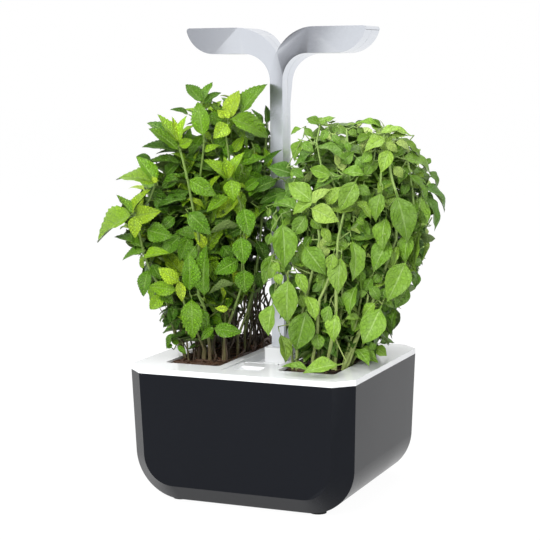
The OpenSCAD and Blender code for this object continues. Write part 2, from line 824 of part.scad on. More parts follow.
module led_chips() {
    pitch_x = lens_l / led_per_row;
    pitch_y = lens_w / led_rows;
    for (i = [0:led_per_row - 1], j = [0:led_rows - 1])
        translate([lens_x0 + (i + 0.5) * pitch_x - chip / 2,
                   lens_y - lens_w / 2 + (j + 0.5) * pitch_y - chip / 2, board_z - chip_t])
            cube([chip, chip, chip_t]);
}

module heat_sink() {
    w = board_w - 4;
    l = 26;
    translate([board_x0 + 3, lens_y - w / 2, board_z + board_t]) {
        cube([l, w, sink_base]);
        for (i = [0:fin_count - 1])
            translate([0, i * (w - fin_t) / (fin_count - 1), 0]) cube([l, fin_t, sink_base + fin_h]);
    }
}

module lid_left() { color("#c9ccce") mirror([1, 0, 0]) lid(); }
module lid_right() { color("#c9ccce") lid(); }
module led_lens_left() { color("#eef3f6") mirror([1, 0, 0]) led_lens(); }
module led_lens_right() { color("#eef3f6") led_lens(); }
module led_board_left() { color("#e9ebe8") mirror([1, 0, 0]) led_board(); }
module led_board_right() { color("#e9ebe8") led_board(); }
module led_chips_left() { color("#f2d878") mirror([1, 0, 0]) led_chips(); }
module led_chips_right() { color("#f2d878") led_chips(); }
module heat_sink_left() { color("#8f9498") mirror([1, 0, 0]) heat_sink(); }
module heat_sink_right() { color("#8f9498") heat_sink(); }

// Upright board behind the mast's top, with the lead's connector on its front
module driver_board() {
    color("#2c6b3f") {
        translate([-driver_w / 2, driver_y, driver_z]) cube([driver_w, driver_t, driver_h]);
        translate([-plug_w / 2, lead_y - plug_d / 2, driver_z + 2])
            cube([plug_w, driver_y - lead_y + plug_d / 2, plug_h]);
    }
}

module button_switch() {
    color("#3a3c40")
    translate([0, driver_y + driver_t, button_z]) {
        translate([-2.5, 0, -2.5]) cube([5, switch_t - 0.6, 5]);
        rotate([-90, 0, 0]) cylinder(r = 1.2, h = switch_t, $fn = 32);
    }
}

// Button that is pressed towards the front
module lamp_button() {
    back = driver_y + driver_t + switch_t + button_travel + 0.05;
    color("#d6d9db")
    translate([0, back, button_z]) rotate([-90, 0, 0]) {
        cylinder(r = button_r, h = neck_back + button_out - back, $fn = 64);
        cylinder(r = button_r + 0.7, h = neck_back - lamp_wall - 0.2 - back, $fn = 64);
    }
}

// Aluminium channel that stiffens the mast, with its open side to the back
module mast_core() {
    web = 1;
    w = mast_w - 2 * (lamp_wall + slim);
    d = mast_d - 2 * (lamp_wall + slim);
    color("#aeb2b6")
    translate([-w / 2, mast_front + lamp_wall + slim, mast_z + plug_end + slim]) difference() {
        cube([w, d, core_top - mast_z - plug_end]);
        translate([web, web, -1]) cube([w - 2 * web, d, core_top]);
    }
}

// Block that closes the mast's lower end and takes the lead
module mast_plug() {
    color("#1d1e21")
    translate([-mast_w / 2 + lamp_wall + slim / 3, mast_front + lamp_wall + slim / 3, mast_z])
        cube([mast_w - 2 * lamp_wall - slim * 2 / 3, mast_d - 2 * lamp_wall - slim * 2 / 3, plug_end]);
}

module lamp_lead() {
    color("#e8e8e6")
    translate([0, lead_y, mast_z + plug_end])
        cylinder(r = lead_r, h = driver_z + 2 - mast_z - plug_end, $fn = 32);
}

tank_shell();
rubber_feet();
planting_tray();
mast_socket();
socket_screws();
dc_inlet();
float_cage();
flap_pin();
fill_flap();
level_float();
mint_basket();
mint_substrate();
mint_wick();
mint_stems();
mint_foliage();
basil_basket();
basil_substrate();
basil_wick();
basil_stems();
basil_foliage();
lamp_front_cover();
lamp_rear_cover();
lid_left();
lid_right();
led_lens_left();
led_lens_right();
led_board_left();
led_board_right();
led_chips_left();
led_chips_right();
heat_sink_left();
heat_sink_right();
driver_board();
mast_core();
mast_plug();
lamp_lead();
cover_screws();
button_switch();
lamp_button();
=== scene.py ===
import bpy
import json
import math
import random
from mathutils import Matrix, Vector, noise

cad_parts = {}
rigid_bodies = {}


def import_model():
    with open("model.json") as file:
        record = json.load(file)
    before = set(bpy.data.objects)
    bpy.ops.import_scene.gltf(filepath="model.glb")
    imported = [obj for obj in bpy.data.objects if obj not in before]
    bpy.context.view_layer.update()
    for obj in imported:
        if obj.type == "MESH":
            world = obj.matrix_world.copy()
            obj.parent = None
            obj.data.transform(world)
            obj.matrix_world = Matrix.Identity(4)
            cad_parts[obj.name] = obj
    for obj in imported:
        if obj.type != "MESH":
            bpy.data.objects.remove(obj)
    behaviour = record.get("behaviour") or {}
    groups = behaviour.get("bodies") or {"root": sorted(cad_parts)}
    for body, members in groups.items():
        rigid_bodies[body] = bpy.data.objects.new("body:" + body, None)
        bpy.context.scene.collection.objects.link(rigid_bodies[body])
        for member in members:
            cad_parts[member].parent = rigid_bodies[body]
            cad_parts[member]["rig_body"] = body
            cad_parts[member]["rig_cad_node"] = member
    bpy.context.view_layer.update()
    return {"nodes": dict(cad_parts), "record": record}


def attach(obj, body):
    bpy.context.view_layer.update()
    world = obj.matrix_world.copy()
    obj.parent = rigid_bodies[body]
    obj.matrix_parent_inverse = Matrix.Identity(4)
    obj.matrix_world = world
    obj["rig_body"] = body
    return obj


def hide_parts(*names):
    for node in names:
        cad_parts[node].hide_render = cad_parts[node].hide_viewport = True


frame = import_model()
nodes = frame["nodes"]
millimetre = 0.001
print("frame loaded:", len(nodes), "nodes")

# where the camera stands, in metres, and how it is turned, in degrees
viewpoint = {"place": (0.5112, -1.2171, 0.3561), "azimuth": 23.01, "pitch": 7.20, "roll": -0.384,
             "lens": 104.0, "sensor": 36, "farthest": 50}


def addCamera():
    azimuth = math.radians(viewpoint["azimuth"])
    pitch = math.radians(viewpoint["pitch"])
    level = math.cos(pitch)
    look = Vector((-math.sin(azimuth) * level, math.cos(azimuth) * level, -math.sin(pitch)))
    roll = Matrix.Rotation(math.radians(viewpoint["roll"]), 3, "Z")
    turned = look.to_track_quat("-Z", "Y").to_matrix() @ roll
    bpy.ops.object.camera_add(location=viewpoint["place"], rotation=turned.to_euler())
    camera = bpy.context.object
    camera.data.lens = viewpoint["lens"]
    camera.data.sensor_width = viewpoint["sensor"]
    camera.data.clip_end = viewpoint["farthest"]
    bpy.context.scene.camera = camera


addCamera()


def pick(*objects):
    bpy.ops.object.select_all(action="DESELECT")
    for o in objects:
        o.select_set(True)
    bpy.context.view_layer.objects.active = objects[0]


def applyModifier(o, kind, **settings):
    pick(o)
    modifier = o.modifiers.new(kind.title(), kind)
    for key, value in settings.items():
        setattr(modifier, key, value)
    bpy.ops.object.modifier_apply(modifier=modifier.name)


def smooth(o, angle):
    pick(o)
    bpy.ops.object.shade_smooth_by_angle(angle=math.radians(angle))


def inEditMode(o, *steps):
    # each step is an operator with its settings, run on the whole mesh
    pick(o)
    bpy.ops.object.mode_set(mode="EDIT")
    for step, settings in steps:
        bpy.ops.mesh.select_all(action="SELECT")
        step(**settings)
    bpy.ops.object.mode_set(mode="OBJECT")


def joinAll(objects, name):
    pick(*objects)
    bpy.ops.object.join()
    joined = bpy.context.object
    joined.name = name
    joined.data.name = name
    return joined


def finishPiece(o, body, material, slot, *replaced):
    o.data.materials.clear()
    o.data.materials.append(material)
    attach(o, body)
    if replaced:
        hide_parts(*replaced)


def addNode(tree, kind, settings=None, **values):
    node = tree.nodes.new("ShaderNode" + kind)
    for key, value in (settings or {}).items():
        setattr(node, key, value)
    for key, value in values.items():
        node.inputs[key.replace("_", " ")].default_value = value
    return node


def link(tree, source, target):
    tree.links.new(source, target)


def feed(tree, value, target):
    # a socket is linked, a number or a colour is set
    if hasattr(value, "is_output"):
        link(tree, value, target)
    elif isinstance(value, (int, float)):
        target.default_value = value
    else:
        target.default_value = (*value, 1)


def mathNode(tree, operation, first, second=None, clamp=False):
    node = addNode(tree, "Math", {"operation": operation, "use_clamp": clamp})
    feed(tree, first, node.inputs[0])
    if second is not None:
        feed(tree, second, node.inputs[1])
    return node.outputs[0]


def centred(tree, source, middle, gain, clamp=False):
    # how far a source lies from its middle, times a gain
    return mathNode(tree, "MULTIPLY", mathNode(tree, "SUBTRACT", source, middle), gain, clamp)


def mixColour(tree, factor, first, second, blend="MIX"):
    node = addNode(tree, "Mix", {"data_type": "RGBA", "blend_type": blend})
    for place, value in ((0, factor), (6, first), (7, second)):  # the colour sockets of a mix node
        feed(tree, value, node.inputs[place])
    return node.outputs[2]


def ramp(tree, source, *stops):
    node = addNode(tree, "ValToRGB")
    elements = node.color_ramp.elements
    while len(elements) < len(stops):
        elements.new(0.5)
    for element, (place, value) in zip(elements, stops):
        element.position = place
        element.color = (value, value, value, 1) if isinstance(value, (int, float)) else (*value, 1)
    link(tree, source, node.inputs["Fac"])
    return node.outputs["Color"]


def ownPlace(tree):
    return addNode(tree, "TexCoord").outputs["Object"]


def ownHeight(tree):
    split = addNode(tree, "SeparateXYZ")
    link(tree, ownPlace(tree), split.inputs["Vector"])
    return split.outputs["Z"]


def cloudNode(tree, scale, detail, roughness=0.5, place=None):
    # noise on the piece's own coordinates, or on a place made from them
    node = addNode(tree, "TexNoise", Detail=detail, Roughness=roughness)
    link(tree, place or ownPlace(tree), node.inputs["Vector"])
    feed(tree, scale, node.inputs["Scale"])
    return node


def newGroup(name, inputs, outputs):
    group = bpy.data.node_groups.new(name, "ShaderNodeTree")
    for label, value in inputs.items():
        socket = group.interface.new_socket(label, in_out="INPUT", socket_type="NodeSocketFloat")
        socket.default_value = value
    for label in outputs:
        group.interface.new_socket(label, in_out="OUTPUT", socket_type="NodeSocketFloat")
    return group, group.nodes.new("NodeGroupInput"), group.nodes.new("NodeGroupOutput")


def makeGrainGroup():
    # two sizes of noise
    group, given, result = newGroup("surfaceGrain", {"Fine Scale": 900, "Broad Scale": 25}, ("Fine", "Broad"))
    for label, detail in (("Fine", 3), ("Broad", 5)):
        cloud = cloudNode(group, given.outputs[label + " Scale"], detail, 0.6)
        link(group, cloud.outputs["Fac"], result.inputs[label])
    return group


def makeWearGroup():
    # mask of rubbed outer edges, broken up by noise
    group, given, result = newGroup("edgeWear", {"Reach": 0.55, "Scale": 60}, ("Wear",))
    shape = addNode(group, "NewGeometry")
    cloud = cloudNode(group, given.outputs["Scale"], 4, 0.65)
    edge = centred(group, shape.outputs["Pointiness"], given.outputs["Reach"], 9, clamp=True)
    link(group, mathNode(group, "MULTIPLY", edge, cloud.outputs["Fac"], clamp=True), result.inputs["Wear"])
    return group


def makeVeinGroup():
    # midrib, side veins and the fine net between them, from the leaf's UV map: U across, V from stalk to tip
    group, given, result = newGroup("leafVeins", {"Pairs": 8, "Slant": 0.5, "Crinkle": 0.3, "Net Scale": 420},
                                    ("Rib", "Side", "Net"))
    uv = addNode(group, "UVMap", {"uv_map": "UVMap"})
    split = addNode(group, "SeparateXYZ")
    link(group, uv.outputs["UV"], split.inputs["Vector"])
    across = mathNode(group, "ABSOLUTE", mathNode(group, "SUBTRACT", split.outputs["X"], 0.5))
    across = mathNode(group, "MULTIPLY", across, 2)
    link(group, ramp(group, across, (0.0, 1.0), (0.04, 0.7), (0.10, 0.0)), result.inputs["Rib"])
    wobble = cloudNode(group, 230.0, 2.0)
    bent = centred(group, wobble.outputs["Fac"], 0.5, given.outputs["Crinkle"])
    rise = mathNode(group, "MULTIPLY", mathNode(group, "POWER", across, 1.3), given.outputs["Slant"])
    along = mathNode(group, "SUBTRACT", split.outputs["Y"], mathNode(group, "MULTIPLY", rise, 0.3))
    phase = mathNode(group, "ADD", mathNode(group, "MULTIPLY", along, given.outputs["Pairs"]), bent)
    wave = mathNode(group, "ABSOLUTE", mathNode(group, "SINE", mathNode(group, "MULTIPLY", phase, math.pi)))
    link(group, ramp(group, wave, (0.0, 1.0), (0.3, 0.45), (0.75, 0.0)), result.inputs["Side"])
    shift = addNode(group, "VectorMath", {"operation": "MULTIPLY_ADD"})
    link(group, wobble.outputs["Color"], shift.inputs[0])
    shift.inputs[1].default_value = (0.0016, 0.0016, 0.0016)
    link(group, ownPlace(group), shift.inputs[2])
    cells = addNode(group, "TexVoronoi", {"feature": "DISTANCE_TO_EDGE"})
    link(group, shift.outputs["Vector"], cells.inputs["Vector"])
    link(group, given.outputs["Net Scale"], cells.inputs["Scale"])
    net = ramp(group, cells.outputs["Distance"], (0.0, 0.0), (0.12, 0.55), (0.36, 1.0))
    link(group, net, result.inputs["Net"])
    return group


grainGroup = makeGrainGroup()
wearGroup = makeWearGroup()
veinGroup = makeVeinGroup()


def useGroup(tree, group, **values):
    return addNode(tree, "Group", {"node_tree": group}, **values)


def newMaterial(name, **values):
    material = bpy.data.materials.new(name)
    material.use_nodes = True
    shader = material.node_tree.nodes["Principled BSDF"]
    for key, value in values.items():
        shader.inputs[key.replace("_", " ")].default_value = value
    return material, material.node_tree, shader


def addBump(tree, shader, height, strength, distance):
    bump = addNode(tree, "Bump", Strength=strength, Distance=distance)
    link(tree, height, bump.inputs["Height"])
    link(tree, bump.outputs["Normal"], shader.inputs["Normal"])


def mouldedMaterial(name, colour, worn, roughness, spread=0.08, fine=900.0, broad=25.0, depth=0.00004,
                    wear=0.5, tint=0.12, **values):
    # plastic, rubber or metal: colour and roughness drift a little, edges are rubbed, the skin has a grain
    material, tree, shader = newMaterial(name, **values)
    grain = useGroup(tree, grainGroup, Fine_Scale=fine, Broad_Scale=broad)
    edges = useGroup(tree, wearGroup)
    dark = tuple(c * (1 - tint) for c in colour)
    light = tuple(c * (1 + tint) for c in colour)
    drift = mixColour(tree, grain.outputs["Broad"], dark, light)
    share = mathNode(tree, "MULTIPLY", edges.outputs["Wear"], wear, clamp=True)
    link(tree, mixColour(tree, share, drift, worn), shader.inputs["Base Color"])
    broader = centred(tree, grain.outputs["Broad"], 0.5, spread * 2)
    finer = centred(tree, grain.outputs["Fine"], 0.5, spread)
    rough = mathNode(tree, "ADD", mathNode(tree, "ADD", broader, finer), roughness, clamp=True)
    link(tree, rough, shader.inputs["Roughness"])
    addBump(tree, shader, grain.outputs["Fine"], 0.6, depth)
    return material


finishes = {
    "dark_casing": dict(colour=(0.0052, 0.0058, 0.0080), worn=(0.03, 0.032, 0.036), roughness=0.24,
                        spread=0.05, fine=1800.0, broad=18.0, depth=0.000012, wear=0.35, tint=0.10,
                        Specular_IOR_Level=0.15, Specular_Tint=(0.84, 0.89, 1.0, 1)),
    "black_rubber": dict(colour=(0.012, 0.012, 0.013), worn=(0.05, 0.05, 0.05), roughness=0.78, depth=0.0001),
    "white_tray": dict(colour=(0.86, 0.87, 0.88), worn=(0.88, 0.88, 0.88), roughness=0.14, spread=0.03,
                       fine=420.0, broad=14.0, depth=0.000008, wear=0.3, tint=0.015, Specular_IOR_Level=0.4),
    "screw_steel": dict(colour=(0.48, 0.49, 0.50), worn=(0.7, 0.7, 0.7), roughness=0.34, fine=1500.0,
                        Metallic=1.0),
    "black_plastic": dict(colour=(0.016, 0.016, 0.018), worn=(0.06, 0.06, 0.06), roughness=0.5),
    "clear_white": dict(colour=(0.72, 0.74, 0.76), worn=(0.85, 0.85, 0.85), roughness=0.3, tint=0.04),
    "float_red": dict(colour=(0.62, 0.05, 0.025), worn=(0.75, 0.2, 0.12), roughness=0.34),
    "basket_grey": dict(colour=(0.03, 0.029, 0.027), worn=(0.09, 0.085, 0.08), roughness=0.62, fine=1200.0),
    "lens_white": dict(colour=(0.8, 0.82, 0.83), worn=(0.88, 0.88, 0.88), roughness=0.38, fine=700.0,
                       depth=0.00008, tint=0.03),
    "board_white": dict(colour=(0.72, 0.73, 0.71), worn=(0.8, 0.8, 0.78), roughness=0.45, tint=0.05),
    "led_yellow": dict(colour=(0.8, 0.6, 0.12), worn=(0.9, 0.8, 0.4), roughness=0.3),
    "sink_aluminium": dict(colour=(0.5, 0.51, 0.52), worn=(0.7, 0.7, 0.7), roughness=0.4, fine=1400.0,
                           Metallic=1.0),
    "board_green": dict(colour=(0.022, 0.13, 0.05), worn=(0.3, 0.25, 0.1), roughness=0.4),
    "lead_white": dict(colour=(0.7, 0.7, 0.69), worn=(0.8, 0.8, 0.8), roughness=0.5),
    "button_grey": dict(colour=(0.5, 0.51, 0.52), worn=(0.7, 0.7, 0.7), roughness=0.36, fine=1500.0),
}
materials = {slot: mouldedMaterial(slot, **values) for slot, values in finishes.items()}

# the mast is handled up to fullHeight; from freshHeight up the metal is bare and smoother
lampLook = {"dark": (0.65, 0.68, 0.735), "light": (0.76, 0.79, 0.85), "cloud": (0.95, 0.95, 0.95),
            "worn": (0.86, 0.87, 0.88), "wear": 0.6, "fullHeight": 0.30, "freshHeight": 0.35,
            "handledMetal": 0.6, "roughness": 0.53, "polish": 0.33, "spread": 0.12, "depth": 0.00001}


def makeLampSilver(look):
    # bead-blasted aluminium: a very fine speckle, duller down the mast where it is handled
    material, tree, shader = newMaterial("lamp_silver")
    grain = useGroup(tree, grainGroup, Fine_Scale=2600.0, Broad_Scale=30.0)
    edges = useGroup(tree, wearGroup, Reach=0.53)
    speckle = ramp(tree, grain.outputs["Fine"], (0.3, look["dark"]), (0.7, look["light"]))
    cloudy = mixColour(tree, grain.outputs["Broad"], look["cloud"], (1, 1, 1))
    base = mixColour(tree, 1.0, speckle, cloudy, "MULTIPLY")
    share = mathNode(tree, "MULTIPLY", edges.outputs["Wear"], look["wear"], clamp=True)
    link(tree, mixColour(tree, share, base, look["worn"]), shader.inputs["Base Color"])
    fresh = addNode(tree, "MapRange", From_Min=look["fullHeight"], From_Max=look["freshHeight"],
                    To_Min=look["handledMetal"], To_Max=1.0)
    link(tree, ownHeight(tree), fresh.inputs["Value"])
    link(tree, fresh.outputs["Result"], shader.inputs["Metallic"])
    rough = centred(tree, grain.outputs["Fine"], 0.5, look["spread"])
    polish = mathNode(tree, "MULTIPLY", fresh.outputs["Result"], look["polish"])
    dull = mathNode(tree, "SUBTRACT", look["roughness"], polish)
    link(tree, mathNode(tree, "ADD", rough, dull, clamp=True), shader.inputs["Roughness"])
    addBump(tree, shader, grain.outputs["Fine"], 0.5, look["depth"])
    return material


soilLook = {"damp": (0.005, 0.0035, 0.003), "crumb": (0.014, 0.008, 0.006), "fibre": (0.045, 0.024, 0.016),
            "roughness": 0.35, "depth": 0.0012}


def makeSoil(look):
    material, tree, shader = newMaterial("growing_medium", Specular_IOR_Level=0.3)
    grain = useGroup(tree, grainGroup, Fine_Scale=700.0, Broad_Scale=90.0)
    stops = (0.3, look["damp"]), (0.55, look["crumb"]), (0.75, look["fibre"])
    colour = ramp(tree, grain.outputs["Fine"], *stops)
    link(tree, colour, shader.inputs["Base Color"])
    rough = mathNode(tree, "ADD", grain.outputs["Broad"], look["roughness"], clamp=True)
    link(tree, rough, shader.inputs["Roughness"])
    addBump(tree, shader, grain.outputs["Fine"], 1.0, look["depth"])
    return material


feltLook = {"dark": (0.5, 0.46, 0.38), "light": (0.74, 0.7, 0.62), "roughness": 0.4, "depth": 0.0004}


def makeFelt(look):
    material, tree, shader = newMaterial("felt_wick", Sheen_Weight=0.4)
    grain = useGroup(tree, grainGroup, Fine_Scale=1800.0, Broad_Scale=60.0)
    colour = mixColour(tree, grain.outputs["Fine"], look["dark"], look["light"])
    link(tree, colour, shader.inputs["Base Color"])
    rough = mathNode(tree, "ADD", grain.outputs["Broad"], look["roughness"], clamp=True)
    link(tree, rough, shader.inputs["Roughness"])
    addBump(tree, shader, grain.outputs["Fine"], 1.0, look["depth"])
    return material


# colours at the lower and the upper of two heights, in metres; streak is the share of pale fibres
stemLooks = {
    "mint_stem": dict(low=(0.10, 0.070, 0.034), high=(0.13, 0.24, 0.035), heights=(0.112, 0.175),
                      streak=0.22),
    "mint_wood": dict(low=(0.030, 0.014, 0.010), high=(0.075, 0.055, 0.022), heights=(0.11, 0.21),
                      streak=0.12),
    "mint_roots": dict(low=(0.034, 0.012, 0.008), high=(0.095, 0.038, 0.022), heights=(0.110, 0.122),
                       streak=0.10),
    "basil_stem": dict(low=(0.26, 0.35, 0.09), high=(0.24, 0.40, 0.09), heights=(0.118, 0.25), streak=0.3),
}
fibreColour = (0.45, 0.4, 0.22)


def makeStem(name, low, high, heights, streak):
    material, tree, shader = newMaterial(name, Specular_IOR_Level=0.4)
    stretch = addNode(tree, "Mapping")
    stretch.inputs["Scale"].default_value = (1, 1, 0.12)  # the streaks run up the stem
    link(tree, ownPlace(tree), stretch.inputs["Vector"])
    fibres = cloudNode(tree, 900.0, 4.0, 0.6, stretch.outputs["Vector"]).outputs["Fac"]
    patch = cloudNode(tree, 70.0, 3.0)
    span = addNode(tree, "MapRange", From_Min=heights[0], From_Max=heights[1])
    link(tree, ownHeight(tree), span.inputs["Value"])
    drift = centred(tree, patch.outputs["Fac"], 0.5, 0.9)
    base = mixColour(tree, mathNode(tree, "ADD", span.outputs["Result"], drift, clamp=True), low, high)
    colour = mixColour(tree, mathNode(tree, "MULTIPLY", fibres, streak), base, fibreColour)
    link(tree, colour, shader.inputs["Base Color"])
    rough = mathNode(tree, "ADD", mathNode(tree, "MULTIPLY", fibres, 0.3), 0.35)
    link(tree, rough, shader.inputs["Roughness"])
    addBump(tree, shader, fibres, 0.8, 0.0003)
    return material


# pale and its share mix in pale patches, partly the leaf's own tone and partly a painted sheen
# side is the share of painted shade darkening the side-vein furrows
# the glint share sets how strongly pale painted glints are mixed into the top face
# the net's darker and lighter multipliers are painted shade in its furrows and a painted highlight on the
# bulges between them
leafLooks = {
    "mint_leaf": dict(ages=((0.0, (0.030, 0.100, 0.006)), (0.45, (0.120, 0.285, 0.008)),
                            (0.75, (0.26, 0.47, 0.012)), (1.0, (0.43, 0.62, 0.03))),
                      under=(0.20, 0.30, 0.08), pale=(0.34, 0.52, 0.10), rib=(0.34, 0.52, 0.13), pairs=7.0,
                      slant=0.9, crinkle=0.7, netScale=520.0, netFurrowShade=0.69, netBulgeHighlight=1.28, side=0.35,
                      glintPaintShare=0.34, depth=0.0008, roughness=0.24, patchesAndSheen=0.35),
    "basil_leaf": dict(ages=((0.0, (0.045, 0.140, 0.010)), (0.45, (0.150, 0.300, 0.022)),
                             (0.75, (0.27, 0.44, 0.052)), (1.0, (0.47, 0.61, 0.16))),
                       under=(0.26, 0.38, 0.12), pale=(0.40, 0.56, 0.22), rib=(0.42, 0.58, 0.22), pairs=5.0,
                       slant=1.2, crinkle=0.5, netScale=300.0, netFurrowShade=0.87, netBulgeHighlight=1.05, side=0.3,
                       glintPaintShare=0.10, depth=0.0005, roughness=0.25, patchesAndSheen=0.5),
}
# multiplied into the side-vein furrows as painted shade
furrowShadeTint = (0.55, 0.62, 0.5)
# the colour of the painted glints
paintedGlintColour = (0.62, 0.78, 0.5)


def makeLeaf(name, look):
    # tone is the leaf's age, shade its own brightness, under marks its lower face
    material, tree, shader = newMaterial(name, Specular_IOR_Level=0.42, Specular_Tint=(0.9, 1.0, 0.72, 1))
    veins = useGroup(tree, veinGroup, Pairs=look["pairs"], Slant=look["slant"], Crinkle=look["crinkle"],
                     Net_Scale=look["netScale"])
    grain = useGroup(tree, grainGroup, Fine_Scale=1300.0, Broad_Scale=110.0)
    tone, shade, under = [addNode(tree, "Attribute", {"attribute_name": label})
                          for label in ("tone", "shade", "under")]
    top = ramp(tree, tone.outputs["Fac"], *look["ages"])
    # painted shade and highlight: the net's furrows are darkened and the bulges between them lightened
    quiltShading = mixColour(tree, veins.outputs["Net"], (look["netFurrowShade"],) * 3, (look["netBulgeHighlight"],) * 3)
    top = mixColour(tree, 1.0, top, quiltShading, "MULTIPLY")
    # painted shade: the side-vein furrows are darkened by the furrow tint
    furrowShade = mathNode(tree, "MULTIPLY", veins.outputs["Side"], look["side"])
    top = mixColour(tree, furrowShade, top, mixColour(tree, 1.0, top, furrowShadeTint, "MULTIPLY"))
    # pale patches on broad noise, partly the leaf's own tone and partly a painted sheen; they also hold the
    # painted glints
    patch = centred(tree, grain.outputs["Broad"], 0.45, 4.0, clamp=True)
    top = mixColour(tree, mathNode(tree, "MULTIPLY", patch, look["patchesAndSheen"] * 0.4), top, look["pale"])
    # painted glints: pale green-white specks on the fine grain, inside the sheen patches
    paintedGlint = centred(tree, grain.outputs["Fine"], 0.5, 5.0, clamp=True)
    paintedGlint = mathNode(tree, "MULTIPLY", mathNode(tree, "MULTIPLY", paintedGlint, patch), look["glintPaintShare"])
    top = mixColour(tree, paintedGlint, top, paintedGlintColour)
    whole = mixColour(tree, under.outputs["Fac"], top, look["under"])
    whole = mixColour(tree, mathNode(tree, "MULTIPLY", veins.outputs["Rib"], 0.5), whole, look["rib"])
    whole = mixColour(tree, 1.0, whole, shade.outputs["Color"], "MULTIPLY")
    link(tree, whole, shader.inputs["Base Color"])
    rough = mathNode(tree, "ADD", mathNode(tree, "MULTIPLY", grain.outputs["Fine"], 0.2), look["roughness"])
    dull = mathNode(tree, "MULTIPLY", under.outputs["Fac"], 0.2)
    link(tree, mathNode(tree, "ADD", rough, dull, clamp=True), shader.inputs["Roughness"])
    rib = mathNode(tree, "MULTIPLY", veins.outputs["Rib"], 0.8)
    height = mathNode(tree, "SUBTRACT", veins.outputs["Net"], rib)
    height = mathNode(tree, "SUBTRACT", height, mathNode(tree, "MULTIPLY", veins.outputs["Side"], 0.7))
    addBump(tree, shader, height, 0.8, look["depth"])
    return material


materials["lamp_silver"] = makeLampSilver(lampLook)
materials["growing_medium"] = makeSoil(soilLook)
materials["felt_wick"] = makeFelt(feltLook)
materials.update({name: makeStem(name, **look) for name, look in stemLooks.items()})
materials.update({name: makeLeaf(name, look) for name, look in leafLooks.items()})
print("materials made:", len(materials))

# the CAD nodes that stay get their own finish
slotOf = {part["node"]: part["material_slot"] for part in frame["record"]["subparts"]}
for name, node in nodes.items():
    node.data.materials.clear()
    node.data.materials.append(materials[slotOf[name]])

# pieces shown by a merged copy of their node with rounded edges: width of the rounding, and from which angle
refined = {
    "casing": dict(node="tank_shell", body="base", width=0.0007, segments=3, angle=20),
    "tray": dict(node="planting_tray", body="tray", width=0.0005, segments=3, angle=30),
    "pedestal": dict(node="mast_socket", body="tray", width=0.0008, segments=3, angle=30),
    "flap": dict(node="fill_flap", body="flap", width=0.0005, segments=3, angle=30),
    "lampFront": dict(node="lamp_front_cover", body="lamp", width=0.0009, segments=3, angle=30),
    "lampRear": dict(node="lamp_rear_cover", body="lamp", width=0.0005, segments=2, angle=30),
    "lampLidLeft": dict(node="lid_left", body="lamp", width=0.0004, segments=2, angle=30),
    "lampLidRight": dict(node="lid_right", body="lamp", width=0.0004, segments=2, angle=30),
    "lampButton": dict(node="lamp_button", body="button", width=0.0004, segments=3, angle=30),
}


def refinedCopy(name, width, segments, angle):
    o = nodes[name].copy()
    o.data = nodes[name].data.copy()
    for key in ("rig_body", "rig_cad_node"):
        if key in o:
            del o[key]
    o.parent = None
    bpy.context.scene.collection.objects.link(o)
    if "custom_normal" in o.data.attributes:
        pick(o)
        bpy.ops.mesh.customdata_custom_splitnormals_clear()
    inEditMode(o, (bpy.ops.mesh.remove_doubles, {"threshold": 0.000002}),
               (bpy.ops.mesh.dissolve_limited, {"angle_limit": math.radians(0.6)}))
    applyModifier(o, "BEVEL", width=width, segments=segments, limit_method="ANGLE",
                  angle_limit=math.radians(angle), use_clamp_overlap=True, harden_normals=False)
    smooth(o, 40)
    applyModifier(o, "WEIGHTED_NORMAL", keep_sharp=True, weight=80)
    return o


def refineRigidPieces():
    for pieceName, part in refined.items():
        piece = refinedCopy(part["node"], part["width"], part["segments"], part["angle"])
        piece.name = pieceName
        slot = slotOf[part["node"]]
        finishPiece(piece, part["body"], materials[slot], slot, part["node"])
        print("refined", pieceName, len(piece.data.polygons), "faces")


refineRigidPieces()

# metres, and shares of the leaf's length
mintBlade = {"length": 0.036, "width": 0.0190, "stalk": 0.05, "widest": 0.36, "full": 1.15, "tooth": 0.10,
             "thickness": 0.0006}
basilBlade = {"length": 0.040, "width": 0.0215, "stalk": 0.14, "widest": 0.38, "full": 1.28, "tooth": 0.0,
              "thickness": 0.0004}
stalkShare = 0.07  # of the blade's width
# bend along the leaf, fold up from the midrib and twist in degrees; cup is the droop of the edges
mintForms = [dict(bend=20, fold=34, cup=0.16, wave=0.0004, twist=10),
             dict(bend=42, fold=30, cup=0.20, wave=0.0006, twist=-16),
             dict(bend=66, fold=26, cup=0.22, wave=0.0005, twist=14),
             dict(bend=-18, fold=36, cup=0.14, wave=0.0006, twist=-10),
             dict(bend=85, fold=20, cup=0.22, wave=0.0004, twist=20)]
basilForms = [dict(bend=30, fold=38, cup=0.26, wave=0.0010, twist=14),
              dict(bend=58, fold=34, cup=0.32, wave=0.0015, twist=-20),
              dict(bend=82, fold=28, cup=0.4, wave=0.0012, twist=18),
              dict(bend=-14, fold=38, cup=0.15, wave=0.0015, twist=-16),
              dict(bend=110, fold=18, cup=0.4, wave=0.0010, twist=24)]
grids = {"mint": dict(plain=(4, 9), fine=(6, 22)), "basil": dict(plain=(4, 8), fine=(6, 16))}


def bladeWidth(blade, v):
    # half width along the leaf, as a share of the widest place
    if v <= 0 or v >= 1:
        return 0.0
    t = (v - blade["stalk"]) / (1 - blade["stalk"])
    if t <= 0:
        return stalkShare
    rise = blade["full"] * blade["widest"] / (1 - blade["widest"])
    top = blade["widest"] ** rise * (1 - blade["widest"]) ** blade["full"]
    return max(stalkShare * (1 - t), t ** rise * (1 - t) ** blade["full"] / top)


